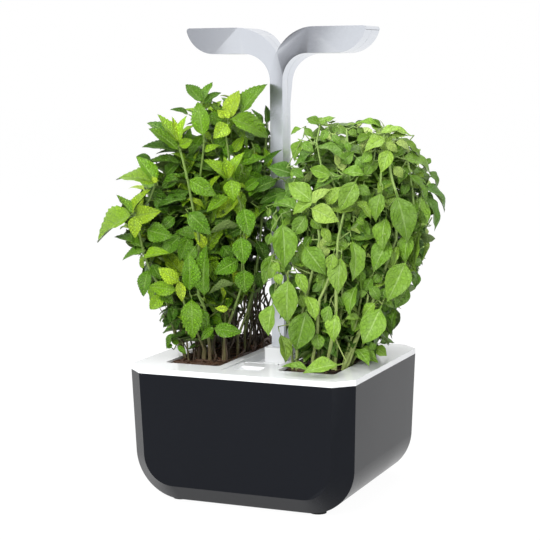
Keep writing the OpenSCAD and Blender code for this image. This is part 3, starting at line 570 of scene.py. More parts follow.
def shapeSide(side, blade, form, rows, underside):
    # moves a flat grid's points onto the leaf: x across, y from stalk to tip, z up
    bend = math.radians(form["bend"])
    chord = 2 * math.sin(bend / 2)
    for point in side.data.vertices:
        u, v = point.co.x, (point.co.y + 1) / 2
        row = round(v * rows)
        half = blade["width"] / 2 * bladeWidth(blade, v)
        reach = v
        if abs(u) > 0.99 and blade["tooth"] and 1 < row < rows - 1:
            if row % 2:
                half *= 1 - blade["tooth"]
            else:
                reach = v + 0.5 / rows
        x = u * half
        turn = bend * reach - bend / 2
        y = blade["length"] * (math.sin(turn) + math.sin(bend / 2)) / chord
        z = blade["length"] * (math.cos(turn) - math.cos(bend / 2)) / chord
        inBlade = min(1.0, max(0.0, (v - blade["stalk"]) * 5))
        z += abs(x) * math.tan(math.radians(form["fold"])) * inBlade - form["cup"] * u * u * half * inBlade
        z += form["wave"] * math.sin(v * 13 + 2.2 * u) * u * u * bladeWidth(blade, v)
        z += x * math.tan(math.radians(form["twist"])) * (v - 0.4)
        if underside:
            z -= blade["thickness"] * (1 - abs(u)) * math.sin(math.pi * v)
        point.co = (x, y, z)


def leafTemplate(blade, form, grid):
    sides = []
    for across, underside in ((grid[0], False), (2, True)):
        bpy.ops.mesh.primitive_grid_add(x_subdivisions=across, y_subdivisions=grid[1], size=2)
        side = bpy.context.object
        shapeSide(side, blade, form, grid[1], underside)
        if underside:
            side.data.flip_normals()
        marks = side.data.attributes.new("under", "FLOAT", "FACE")
        marks.data.foreach_set("value", [float(underside)] * len(side.data.polygons))
        sides.append(side)
    leaf = joinAll(sides, "leafTemplate")
    inEditMode(leaf, (bpy.ops.mesh.remove_doubles, {"threshold": 0.00001}))
    smooth(leaf, 80)
    mesh = leaf.data
    bpy.data.objects.remove(leaf)
    return mesh


def leafMatrix(base, tip, up, length, width):
    # puts a template's stalk at base and points it at tip, its top towards up
    along = (tip - base).normalized()
    across = along.cross(up)
    across = across.normalized() if across.length > 0.001 else Vector((1, 0, 0))
    normal = across.cross(along)
    turned = Matrix((across, along, normal)).transposed().to_4x4()
    return Matrix.Translation(base) @ turned @ Matrix.Diagonal((width, length, (length + width) / 2, 1))


class Plant:
    # one plant's leaves and stems, kept until they are joined
    def __init__(self, side, blade, forms, grids, seed):
        self.side = side
        self.blade = blade
        self.templates = [leafTemplate(blade, form, grids["plain"]) for form in forms]
        self.fineTemplates = [leafTemplate(blade, form, grids["fine"]) for form in forms]
        self.random = random.Random(seed)
        self.leaves = []
        self.stems = []

    def addLeaf(self, base, tip, up, widthShare, tone, shade, form, fine=False):
        length = (tip - base).length / self.blade["length"]
        mesh = (self.fineTemplates if fine else self.templates)[form].copy()
        mesh.transform(leafMatrix(base, tip, up, length, length * widthShare))
        for name, value in (("tone", tone), ("shade", shade)):
            layer = mesh.attributes.new(name, "FLOAT", "POINT")
            layer.data.foreach_set("value", [value] * len(mesh.vertices))
        self.leaves.append(mesh)

    def addStem(self, points, radii):
        self.stems.append((points, radii))


def between(low, high, share):
    return low + (high - low) * share


def limited(value, low, high):
    return max(low, min(high, value))


# room that the leaves of both plants leave free, in millimetres; lift is how far each plant can rise
freeRoom = {"mastHalf": 8.5, "mastFront": 0.0, "mastBack": 24.0, "flapHalf": 19.0, "flapFront": -76.0,
            "flapBack": -24.0, "flapTop": 154.0, "wingReach": 82.0, "wingFront": -5.0, "wingBack": 39.0,
            "wingUnder": 372.0, "neckHalf": 34.0, "neckUnder": 326.0, "wellX": 51.0, "wellHalfX": 24.0,
            "wellY": 4.0, "wellHalfY": 65.0, "middle": 1.2, "outer": 156.0, "depth": 93.5, "low": 116.8,
            "high": 351.0, "lift": {-1: 18.0, 1: 32.0}}


def isFree(point, side):
    room = freeRoom
    x, y, z = (c / millimetre for c in point)
    if z > room["high"] or abs(y) > room["depth"] or x * side > room["outer"] or x * side < room["middle"]:
        return False
    if abs(x) < room["mastHalf"] and room["mastFront"] < y < room["mastBack"]:
        return False
    if abs(x) < room["flapHalf"] and room["flapFront"] < y < room["flapBack"] and z < room["flapTop"]:
        return False
    overWell = abs(abs(x) - room["wellX"]) < room["wellHalfX"] and abs(y - room["wellY"]) < room["wellHalfY"]
    if z < room["low"] and not overWell:
        return False
    if room["wingFront"] < y < room["wingBack"] and abs(x) < room["wingReach"]:
        ceiling = room["neckUnder"] if abs(x) < room["neckHalf"] else room["wingUnder"]
        return z + room["lift"][side] <= ceiling
    return True


# each plant's mass seen from leafFront: how far it bulges towards that side, and its outline across and up
plantShape = {
    -1: {"middle": -57, "half": 88, "start": -24, "bulge": 62, "outline": (
        (-93, 119), (-100, 140), (-110, 159), (-115, 188), (-119, 206), (-133, 218), (-135, 237), (-129, 254),
        (-127, 267), (-116, 284), (-106, 302), (-95, 317), (-75, 329), (-63, 340), (-42, 337), (-21, 342),
        (-6, 340), (-3, 323), (-3, 292), (5, 275), (4, 219), (-3, 206), (-9, 167), (-38, 163), (-53, 120))},
    1: {"middle": 60, "half": 84, "start": 18, "bulge": 62, "outline": (
        (-4, 118), (-5, 159), (5, 196), (2, 236), (9, 266), (14, 283), (13, 303), (21, 315), (36, 320),
        (50, 316), (63, 311), (76, 318), (88, 318), (107, 308), (121, 291), (131, 275), (138, 255),
        (138, 240), (131, 224), (127, 210), (128, 195), (119, 178), (110, 166),
        (109, 152), (102, 137), (98, 123), (87, 112), (13, 106))},
}
# where the outlines are seen from: distance and height in millimetres, and the turn's cosine and sine
eye = {"distance": 1320, "height": 356, "cosine": 0.9204, "sine": 0.3909}
# the bulge shrinks above shoulder, over fade, and a little below waist, down to foot
bulgeEnds = {"shoulder": 270, "fade": 90, "least": 0.15, "waist": 190, "foot": 115, "footShare": 0.78,
             "waistShare": 0.22}


def acrossAndNear(point):
    x, y, z = (c / millimetre for c in point)
    return x * eye["cosine"] + y * eye["sine"], x * eye["sine"] - y * eye["cosine"], z


def isBehindFront(point, side, margin=6.0):
    # true where a point lies behind the leaves that have a place of their own
    across, near, z = acrossAndNear(point)
    shape, ends = plantShape[side], bulgeEnds
    bulge = max(0.0, 1 - ((across - shape["middle"]) / shape["half"]) ** 2)
    if z > ends["shoulder"]:
        bulge *= max(ends["least"], 1 - ((z - ends["shoulder"]) / ends["fade"]) ** 2)
    elif z < ends["waist"]:
        rise = max(0.0, (z - ends["foot"]) / (ends["waist"] - ends["foot"]))
        bulge *= ends["footShare"] + ends["waistShare"] * rise
    return near < shape["start"] + shape["bulge"] * math.sqrt(bulge) - margin


def isInsideOutline(point, side):
    across, near, z = acrossAndNear(point)
    scale = eye["distance"] / (eye["distance"] - near)
    across, z = across * scale, eye["height"] + (z - eye["height"]) * scale
    corners = plantShape[side]["outline"]
    inside = False
    for (x1, z1), (x2, z2) in zip(corners, corners[1:] + corners[:1]):
        if (z1 > z) != (z2 > z) and across < x1 + (z - z1) / (z2 - z1) * (x2 - x1):
            inside = not inside
    return inside


def leafIsFree(plant, base, tip, up, width):
    across = (tip - base).cross(up).normalized() * width / 2
    middle = base.lerp(tip, 0.5) + up * 0.002
    if not all(isBehindFront(p, plant.side) and isInsideOutline(p, plant.side) for p in (tip, middle)):
        return False
    return all(isFree(p, plant.side) for p in (tip, middle, middle + across, middle - across))


def curvePath(foot, tip, lean, count=16):
    # a stem: straight out of the ground, then outwards, turning up again at its tip
    rise = tip.z - foot.z
    first = foot + Vector((0, 0, rise * 0.42)) + Vector((lean.x, lean.y, 0)) * 0.15
    second = tip - Vector((lean.x * 0.30, lean.y * 0.30, rise * 0.30))
    points = []
    for i in range(count):
        t = i / (count - 1)
        a, b, c = foot.lerp(first, t), first.lerp(second, t), second.lerp(tip, t)
        points.append(a.lerp(b, t).lerp(b.lerp(c, t), t))
    return points


def pointAlong(points, fromTip):
    # the place and direction on a path at a distance back from its tip
    left = fromTip
    for i in range(len(points) - 1, 0, -1):
        step = points[i] - points[i - 1]
        if left <= step.length:
            return points[i] - step.normalized() * left, step.normalized()
        left -= step.length
    return points[0].copy(), (points[1] - points[0]).normalized()


def outwards(up, angle):
    # square to a stem that points up, at an angle around it
    side = up.cross(Vector((0.3, 1, 0.2))).normalized()
    other = up.cross(side).normalized()
    return side * math.cos(angle) + other * math.sin(angle)


def growLeaf(plant, place, up, out, pair, habit, scale):
    # pair counts down the stem from the youngest leaves at its tip
    rnd = plant.random
    growth = min(1.0, (pair + 1) / habit["fullAfter"])
    rise = math.radians(between(habit["tipRise"], habit["oldRise"], growth)) + rnd.uniform(-0.25, 0.25)
    ahead = out * math.cos(rise) + up * math.sin(rise)
    size = plant.blade["length"] * scale * between(habit["tipSize"], 1.0, growth ** 0.8)
    size *= rnd.uniform(0.78, 1.16)
    tip = place + ahead * size
    top = (up * 1.0 + Vector((0, 0, 0.6)) - out * 0.25 + Vector((0, -0.25, 0))).normalized()
    width = size * plant.blade["width"] / plant.blade["length"]
    tone = max(0.0, 1 - pair / habit["youngPairs"]) * rnd.uniform(0.6, 1.0) + rnd.uniform(0, 0.16)
    shade = rnd.uniform(0.72, 1.14)
    form = rnd.randrange(len(plant.templates))
    for attempt in range(3):
        if leafIsFree(plant, place, tip, top, width):
            plant.addLeaf(place, tip, top, rnd.uniform(0.85, 1.12), min(1, tone), shade, form)
            break
        shorter = ahead * 0.75 ** (attempt + 1) + Vector((plant.side * 0.2, 0, 0.1))
        tip = place + shorter * size * 0.8


def growLeaves(plant, points, habit, scale=1.0, reach=1.0, sideShoots=True):
    # opposite pairs of leaves down a stem, each pair a quarter turn from the last
    rnd = plant.random
    turn = rnd.uniform(0, math.pi)
    total = sum((b - a).length for a, b in zip(points, points[1:]))
    gap = habit["firstGap"]
    back = 0.002
    pair = 0
    while back < total * reach:
        place, up = pointAlong(points, back)
        if place.z < habit["lowest"]:
            break
        for half in (0, math.pi):
            out = outwards(up, turn + half + rnd.uniform(-0.35, 0.35))
            growLeaf(plant, place, up, out, pair, habit, scale)
        if sideShoots and pair >= habit["branchAfter"] and rnd.random() < habit["branchShare"]:
            growBranch(plant, place, up, turn + rnd.choice((0, math.pi)), habit)
        turn += math.pi / 2
        back += gap
        gap = min(habit["lastGap"], gap * habit["gapGrowth"])
        pair += 1


def growBranch(plant, place, up, angle, habit):
    rnd = plant.random
    out = outwards(up, angle)
    length = rnd.uniform(*habit["branchLength"])
    tip = place + (out * 0.75 + up * 0.55 + Vector((0, 0, 0.25))).normalized() * length
    if not (isFree(tip, plant.side) and isInsideOutline(tip, plant.side) and isBehindFront(tip, plant.side)):
        return
    bow = place.lerp(tip, 0.5) + out * length * 0.12
    points = [place, place.lerp(bow, 0.6), bow, bow.lerp(tip, 0.6), tip]
    before = len(plant.leaves)
    growLeaves(plant, points, habit, rnd.uniform(0.66, 0.92), reach=0.98, sideShoots=False)
    if len(plant.leaves) > before + 1:
        plant.addStem(points, [habit["branchRadius"] * (1 - 0.1 * i) for i in range(5)])


# the wells and the ground in them, in metres: the middle of a well, and how high stems start in the ground
well = {"x": 0.051, "y": 0.004, "stemFoot": 0.1085, "woodFoot": 0.111, "ground": 0.1128}
# stems come up in clumps, in metres
clumps = {"stepX": 0.016, "stepY": 0.021, "halfX": 0.016, "halfY": 0.052, "spreadX": 0.003, "spreadY": 0.004,
          "pullX": 0.28, "pullY": 0.72}
towardsBack = Vector((0.39, -0.92, 0))


def growShoot(plant, tip, habit):
    # a main stem from the well to a given tip
    rnd = plant.random
    tip = Vector(tip) * millimetre
    centre = Vector((plant.side * well["x"], well["y"], well["stemFoot"]))
    toTip = tip - centre
    x = round(toTip.x * clumps["pullX"] / clumps["stepX"]) * clumps["stepX"]
    y = round(toTip.y * clumps["pullY"] / clumps["stepY"]) * clumps["stepY"]
    x = limited(x, -clumps["halfX"], clumps["halfX"]) + rnd.uniform(-clumps["spreadX"], clumps["spreadX"])
    y = limited(y, -clumps["halfY"], clumps["halfY"]) + rnd.uniform(-clumps["spreadY"], clumps["spreadY"])
    foot = centre + Vector((x, y, 0))
    points = curvePath(foot, tip, tip - foot)
    for i in range(1, len(points) - 1):
        points[i] += Vector((rnd.uniform(-1, 1), rnd.uniform(-1, 1), 0)) * 0.0008
        for step in range(30):
            if isBehindFront(points[i], plant.side, 22):
                break
            points[i] -= towardsBack * 0.002
    radii = [between(habit["footRadius"], habit["tipRadius"], (i / (len(points) - 1)) ** 0.8)
             for i in range(len(points))]
    plant.addStem(points, radii)
    growLeaves(plant, points, habit)


def nearestStem(plant, place):
    return min((p for points, radii in plant.stems for p in points), key=lambda p: (p - place).length)


leafFront = Vector((0.388, -0.913, 0.125)).normalized()  # the side of the plants with most leaves


def placeKeyLeaf(plant, bx, by, bz, tx, ty, tz, width, turn, tone, form):
    # one leaf of the front, in millimetres; its stalk runs back to the nearest stem
    base, tip = Vector((bx, by, bz)) * millimetre, Vector((tx, ty, tz)) * millimetre
    base = tip + (base - tip) / (1 - plant.blade["stalk"])
    along = (tip - base).normalized()
    flat = (leafFront - along * leafFront.dot(along)).normalized()
    over = along.cross(flat)
    over = over if over.z > 0 else -over
    facing = flat * math.cos(math.radians(turn)) + over * math.sin(math.radians(turn))
    length = (tip - base).length
    share = width * millimetre / plant.blade["width"] / (length / plant.blade["length"])
    shade = plant.random.uniform(0.78, 1.12)
    plant.addLeaf(base, tip, facing, share, tone, shade, form, fine=True)
    root = nearestStem(plant, base)
    gap = (root - base).length
    if gap > 0.002:
        # a leaf that hangs in front of the mast keeps its stalk in front of it as well
        nearMast = abs(base.x) < 0.026 and base.y > -0.032
        dive = 0.001 if nearMast else min(0.012, gap * 0.45)
        sag = -0.003 if nearMast else min(0.008, gap * 0.25)
        behind = base - along * min(0.004, gap * 0.4) - leafFront * dive
        bow = root.lerp(behind, 0.55) - leafFront * sag
        plant.addStem([root, root.lerp(bow, 0.6), bow, behind, base.lerp(behind, 0.35), base],
                      [0.0006, 0.0006, 0.0005, 0.0005, 0.00045, 0.0004])


def buildTubes(paths, name):
    curve = bpy.data.curves.new(name, "CURVE")
    curve.dimensions = "3D"
    curve.bevel_depth = 1.0
    curve.bevel_resolution = 1
    curve.use_fill_caps = True
    for points, radii in paths:
        spline = curve.splines.new("POLY")
        spline.points.add(len(points) - 1)
        for target, place, radius in zip(spline.points, points, radii):
            target.co = (*place, 1)
            target.radius = radius
    o = bpy.data.objects.new(name, curve)
    bpy.context.scene.collection.objects.link(o)
    pick(o)
    bpy.ops.object.convert(target="MESH")
    o = bpy.context.object
    smooth(o, 60)
    return o


mintHabit = {"firstGap": 0.006, "gapGrowth": 1.35, "lastGap": 0.017, "fullAfter": 3.4, "tipSize": 0.40,
             "tipRise": 58, "oldRise": -4, "youngPairs": 4.0, "lowest": 0.126, "branchAfter": 2,
             "branchShare": 0.75, "branchLength": (0.016, 0.040), "branchRadius": 0.0006,
             "footRadius": 0.0009, "tipRadius": 0.0005}
basilHabit = {"firstGap": 0.006, "gapGrowth": 1.4, "lastGap": 0.021, "fullAfter": 3.0, "tipSize": 0.34,
              "tipRise": 45, "oldRise": -26, "youngPairs": 3.4, "lowest": 0.124, "branchAfter": 1,
              "branchShare": 0.75, "branchLength": (0.018, 0.040), "branchRadius": 0.0006,
              "footRadius": 0.0013, "tipRadius": 0.0006}

# tips of the stems behind the front, millimetres
mintTips = [
    (-76, -34, 300), (-104, -18, 262), (-50, -30, 328), (-24, -36, 312), (-18, -40, 268), (-108, -34, 236),
    (-104, -30, 205), (-64, -52, 190), (-32, -52, 240), (-42, -50, 212), (-22, 36, 312), (-62, 4, 318),
    (-40, 44, 298), (-90, 30, 288), (-124, 8, 250), (-72, 62, 262), (-34, 70, 244), (-110, 46, 222),
    (-16, 62, 206), (-84, -42, 262), (-58, -44, 280), (-134, -8, 222), (-92, -42, 212), (-20, 22, 262),
    (-60, 78, 214), (-92, 66, 240), (-128, 30, 212), (-44, 20, 330),
]
basilTips = [
    (48, -12, 306), (30, 0, 298), (99, -10, 304), (112, -34, 292), (122, -4, 288), (136, -6, 266),
    (76, -40, 276), (66, -46, 252), (42, 36, 304), (54, 46, 300), (97, -48, 250), (40, -36, 250),
    (130, 22, 258), (100, 50, 278), (72, 62, 286), (40, 62, 250), (124, 46, 234), (112, -42, 228),
    (88, -50, 216), (62, -50, 206), (136, -16, 216), (24, 30, 232), (78, 14, 300), (44, -40, 190),
    (60, 82, 226), (94, 76, 232), (126, 24, 214), (24, 60, 214),
]

# stems in front: radius, then the points from the tip down to the ground, millimetres
mintKeyStems = [
    (1.5, [(-62, -58, 297), (-58, -59, 285), (-54, -58, 267), (-51, -56, 246), (-47, -54, 222),
          (-47, -54, 198), (-49, -52, 173), (-45, -49, 162), (-45, -44, 146), (-46, -37, 125),
          (-46, -37, 110)]),
    (1.3, [(-82, -62, 266), (-88, -62, 252), (-97, -62, 242), (-100, -60, 227), (-96, -60, 209),
          (-91, -59, 194), (-82, -55, 176), (-78, -49, 160), (-78, -39, 137), (-74, -32, 121),
          (-70, -32, 110)]),
    (1.2, [(-27, -36, 319), (-27, -41, 305), (-24, -43, 290), (-22, -45, 273), (-19, -45, 265),
          (-14, -41, 248), (-12, -39, 222), (-14, -40, 195), (-16, -38, 177), (-25, -35, 156),
          (-35, -30, 137), (-35, -30, 110)]),
    (1.3, [(-51, -37, 333), (-43, -49, 306), (-45, -47, 292), (-49, -45, 272), (-48, -40, 242),
          (-44, -35, 212), (-44, -30, 174), (-48, -26, 143), (-48, -26, 110)]),
    (1.2, [(-62, -61, 184), (-60, -55, 163), (-55, -45, 142), (-51, -37, 123), (-51, -37, 110)]),
    (1.1, [(-11, 7, 313), (-10, 2, 291), (-11, 1, 270), (-15, 4, 233), (-19, 3, 187), (-26, 4, 155),
          (-32, 5, 133), (-32, 5, 110)]),
    (1.2, [(-4, -16, 262), (-4, -18, 241), (-7, -19, 211), (-13, -16, 180), (-22, -12, 153), (-32, -10, 131),
          (-32, -10, 110)]),
]
basilKeyStems = [
    (1.6, [(81, -51, 247), (78, -52, 234), (76, -53, 223), (75, -53, 204), (74, -52, 181), (73, -49, 166),
          (69, -46, 146), (64, -41, 130), (61, -38, 119), (61, -38, 110)]),
    (1.5, [(70, -56, 194), (66, -56, 184), (61, -55, 175), (58, -51, 157), (55, -46, 141), (49, -40, 123),
          (49, -40, 110)]),
    (1.6, [(112, -31, 282), (114, -30, 270), (117, -26, 257), (115, -23, 222), (105, -27, 193),
          (95, -28, 166), (85, -29, 144), (74, -28, 120), (70, -28, 110)]),
    (1.6, [(55, -56, 252), (59, -55, 240), (60, -52, 223), (52, -49, 194), (44, -47, 166), (37, -45, 139),
          (36, -42, 114), (36, -42, 110)]),
    (1.3, [(69, -51, 277), (73, -48, 259), (74, -47, 239), (77, -43, 203), (74, -38, 166), (68, -35, 140),
          (65, -31, 121), (65, -31, 110)]),
    (1.4, [(95, -34, 177), (91, -31, 155), (83, -29, 137), (76, -27, 119), (70, -27, 110)]),
    (1.3, [(89, -34, 174), (85, -32, 156), (77, -29, 135), (71, -26, 118), (70, -26, 110)]),
    (1.2, [(106, -27, 307), (105, -30, 286), (103, -28, 261), (102, -26, 230), (96, -27, 201), (88, -24, 165),
          (77, -20, 128), (70, -20, 110)]),
    (1.2, [(54, -35, 314), (53, -40, 300), (58, -43, 282), (62, -43, 256), (64, -42, 216), (60, -39, 173),
          (55, -33, 128), (55, -33, 110)]),
    (1.2, [(122, -15, 286), (124, -8, 260), (125, -3, 231), (123, -3, 206), (113, -9, 181), (99, -14, 157),
          (85, -15, 135), (70, -15, 110)]),
    (1.2, [(75, -30, 311), (78, -35, 294), (81, -37, 270), (83, -35, 239), (84, -31, 201), (80, -27, 165),
          (72, -21, 127), (70, -21, 110)]),
    (1.1, [(22, -53, 187), (28, -53, 202), (33, -51, 187), (31, -46, 151), (32, -42, 117), (32, -42, 110)]),
]

# leaves in front: stalk end, tip, width, turn about the leaf, tone, form; millimetres and degrees
mintKeyLeaves = [
    (-4, -16, 279, 14, -18, 293, 7, 40, 0.12, 0), (9, -20, 267, -14, -26, 256, 14, 25, 0.15, 1),
    (17, -16, 258, -7, -20, 247, 12, 20, 0.1, 1), (8, -18, 247, -7, -24, 236, 12, 10, 0.12, 1),
    (12, -16, 242, 11, -17, 227, 14, 5, 0.08, 1), (1, -16, 235, 7, -18, 223, 10, 0, 0.1, 0),
    (-50, -39, 333, -68, -32, 347, 12, 20, 0.35, 0), (-50, -38, 334, -48, -21, 349, 12, 44, 0.45, 3),
    (-48, -37, 331, -37, -27, 340, 9, 42, 0.2, 1), (-42, -54, 306, -51, -44, 333, 16, 0, 0.5, 0),
    (-65, -34, 322, -81, -36, 326, 8, 52, 0.15, 0), (-26, -38, 319, -24, -20, 342, 15, 22, 0.95, 0),
    (-28, -40, 320, -35, -40, 326, 7, 0, 1, 3), (-25, -40, 319, -28, -38, 327, 5, 0, 1, 3),
    (-18, -29, 324, -6, -1, 347, 20, 43, 0.5, 0), (-23, -39, 318, -3, -8, 302, 21, 33, 0.55, 1),
    (-25, -42, 314, -33, -53, 303, 14, 0, 0.85, 0), (-34, -32, 317, -47, -36, 321, 12, 0, 0.4, 0),
    (-61, -61, 301, -82, -57, 323, 16, 49, 0.75, 3), (-61, -62, 302, -68, -58, 321, 11, 52, 0.95, 3),
    (-60, -61, 301, -57, -52, 322, 12, 48, 0.8, 0), (-62, -61, 294, -89, -60, 311, 17, 42, 0.5, 0),
    (-70, -48, 296, -99, -44, 315, 18, 43, 0.15, 2), (-60, -61, 297, -50, -56, 302, 9, 0, 0.7, 0),
    (-69, -51, 292, -100, -52, 295, 16, 53, 0.12, 0), (-55, -44, 296, -47, -41, 306, 9, 0, 0.4, 0),
    (-50, -63, 269, -29, -56, 256, 15, 0, 0.5, 1), (-80, -66, 267, -99, -64, 288, 15, 37, 0.5, 0),
    (-80, -66, 266, -123, -56, 267, 23, 53, 0.75, 1), (-78, -68, 267, -82, -69, 272, 5, 0, 1, 3),
    (-103, -64, 241, -122, -57, 255, 13, 54, 0.55, 3), (-103, -64, 241, -84, -66, 261, 14, 58, 0.85, 0),
    (-106, -63, 238, -151, -39, 211, 30, 55, 0.72, 0), (-99, -67, 238, -98, -70, 220, 12, 0, 0.9, 1),
    (-100, -64, 238, -75, -66, 243, 16, 0, 0.88, 0), (-97, -61, 212, -129, -50, 218, 17, 58, 0.45, 0),
    (-95, -62, 208, -118, -56, 199, 13, 57, 0.4, 0), (-93, -65, 204, -68, -65, 208, 13, 45, 0.7, 0),
    (-92, -59, 226, -68, -58, 221, 18, 0, 0.4, 1), (-58, -53, 253, -84, -57, 245, 14, 52, 0.15, 0),
    (-51, -63, 242, -33, -59, 224, 16, 0, 0.3, 1), (-20, -51, 271, -38, -62, 286, 13, 38, 0.75, 0),
    (-20, -51, 271, -23, -55, 289, 10, 34, 0.8, 3), (-20, -51, 271, -9, -43, 292, 13, 42, 0.72, 0),
    (-19, -54, 271, -14, -53, 282, 6, 34, 0.85, 3), (-18, -51, 269, -15, -53, 252, 15, 0, 0.62, 1),
    (-23, -47, 255, -39, -55, 242, 12, 33, 0.55, 0), (-10, -44, 245, -5, -45, 222, 17, 0, 0.35, 1),
    (-12, -46, 221, -9, -48, 199, 17, 0, 0.38, 1), (-10, -45, 194, -9, -46, 175, 17, 0, 0.4, 1),
    (-16, -44, 202, -33, -55, 191, 15, 0, 0.3, 1), (-16, -44, 231, -37, -56, 224, 13, 125, 0.4, 0),
    (-19, -47, 183, -38, -55, 174, 12, 126, 0.35, 0), (-52, -62, 178, -52, -64, 211, 17, 22, 0.45, 0),
    (-41, -57, 174, -38, -57, 216, 22, 36, 0.42, 0), (-61, -64, 184, -78, -68, 196, 13, 0, 0.9, 1),
    (-59, -67, 185, -57, -66, 168, 9, 7, 1, 1), (-65, -62, 177, -90, -62, 179, 13, 0, 0.6, 0),
    (-92, -59, 192, -98, -57, 169, 13, 16, 0.3, 1), (-78, -60, 172, -91, -59, 159, 12, 0, 0.7, 1),
    (-79, -47, 165, -74, -44, 140, 13, 37, 0.1, 1), (-51, -61, 169, -50, -61, 136, 19, 0, 0.5, 1),
    (-50, -52, 162, -45, -49, 137, 13, 39, 0.4, 1), (-36, -48, 144, -14, -40, 141, 13, 0, 0.4, 1),
    (-24, -47, 161, -34, -52, 162, 6, 0, 1, 1), (-37, -49, 145, -47, -52, 134, 8, 14, 0.45, 1),
    (-10, 4, 314, -13, 10, 329, 9, 42, 0.2, 0), (-12, 2, 314, -22, 0, 326, 8, 57, 0.3, 3),
    (-13, 0, 309, -6, 5, 304, 6, 0, 0.15, 1), (-24, -35, 290, -32, -39, 296, 10, 0, 0.3, 1),
    (-24, -35, 291, -17, -27, 304, 9, 0, 0.7, 0), (-17, -30, 281, -3, -14, 286, 11, 36, 0.45, 0),
    (-10, -19, 283, -8, -20, 271, 10, 0, 0.12, 1), (-4, -5, 277, -8, -6, 294, 9, 35, 0.6, 3),
    (-3, 7, 265, -9, -36, 254, 23, 56, 0.35, 0), (-3, -7, 244, -5, -32, 235, 13, 48, 0.6, 1),
    (-31, -43, 311, -25, -43, 306, 5, 0, 0.9, 3), (-47, -41, 285, -65, -46, 287, 9, 30, 0.15, 0),
    (-65, -49, 282, -97, -51, 282, 13, 58, 0.3, 0), (-58, -47, 290, -45, -38, 306, 12, 34, 0.35, 0),
    (-39, -37, 276, -59, -44, 281, 11, 36, 0.2, 1), (-91, -52, 284, -106, -50, 287, 9, 0, 0.15, 1),
    (-80, -48, 272, -65, -45, 285, 11, 23, 0.2, 0), (-66, -48, 272, -83, -51, 260, 11, 14, 0.25, 1),
    (-77, -51, 251, -57, -48, 259, 12, 0, 0.2, 0), (-38, -40, 242, -52, -46, 251, 12, 0, 0.3, 0),
    (-45, -46, 222, -69, -53, 225, 13, 20, 0.3, 0), (-65, -53, 221, -82, -55, 205, 13, 0, 0.25, 1),
    (-56, -52, 222, -64, -56, 201, 13, 0, 0.4, 1), (-48, -58, 214, -57, -62, 200, 12, 0, 0.3, 1),
    (-38, -42, 232, -24, -34, 242, 12, 0, 0.15, 0), (-31, -35, 221, -13, -23, 231, 12, 13, 0.12, 0),
    (-31, -41, 213, -24, -37, 200, 12, 0, 0.2, 1), (-9, -21, 216, -3, -14, 196, 12, 25, 0.12, 1),
    (-38, -41, 187, -30, -35, 171, 10, 0, 0.15, 1), (-11, -17, 190, -8, -13, 174, 9, 0, 0.1, 1),
    (-35, -39, 257, -46, -44, 268, 10, 0, 0.25, 0), (-15, -32, 260, -4, -22, 269, 10, 0, 0.4, 0),
    (-14, -28, 272, -3, -13, 265, 10, 5, 0.3, 0), (-9, -24, 251, -3, -5, 259, 11, 37, 0.3, 0),
    (-44, -43, 206, -36, -39, 221, 10, 0, 0.2, 0), (-89, -57, 197, -81, -56, 184, 11, 0, 0.3, 1),
    (-82, -58, 176, -70, -56, 164, 11, 0, 0.35, 1), (-72, -48, 162, -79, -48, 146, 9, 0, 0.12, 1),
    (-49, -49, 149, -39, -45, 134, 10, 20, 0.35, 1), (-13, -22, 292, -20, -29, 285, 7, 0, 0.3, 1),
    (-13, -17, 297, -7, -14, 289, 6, 0, 0.4, 1), (-59, -50, 299, -57, -46, 311, 7, 0, 0.4, 0),
    (-37, -41, 296, -28, -35, 303, 9, 0, 0.35, 0), (-43, -49, 292, -31, -44, 297, 7, 29, 0.7, 0),
    (-76, -54, 241, -89, -54, 254, 10, 0, 0.15, 0), (-69, -54, 237, -81, -55, 227, 10, 0, 0.2, 1),
    (-94, -52, 260, -77, -51, 253, 9, 15, 0.15, 1), (-101, -56, 206, -109, -54, 223, 10, 27, 0.3, 0),
    (-90, -54, 206, -77, -54, 217, 9, 33, 0.25, 0), (-75, -46, 137, -82, -46, 123, 8, 43, 0.3, 1),
    (-71, -45, 129, -78, -46, 131, 5, 0, 0.35, 1), (-71, -47, 127, -64, -45, 120, 5, 0, 0.4, 1),
    (-77, -47, 125, -81, -48, 129, 5, 0, 0.3, 0),
]
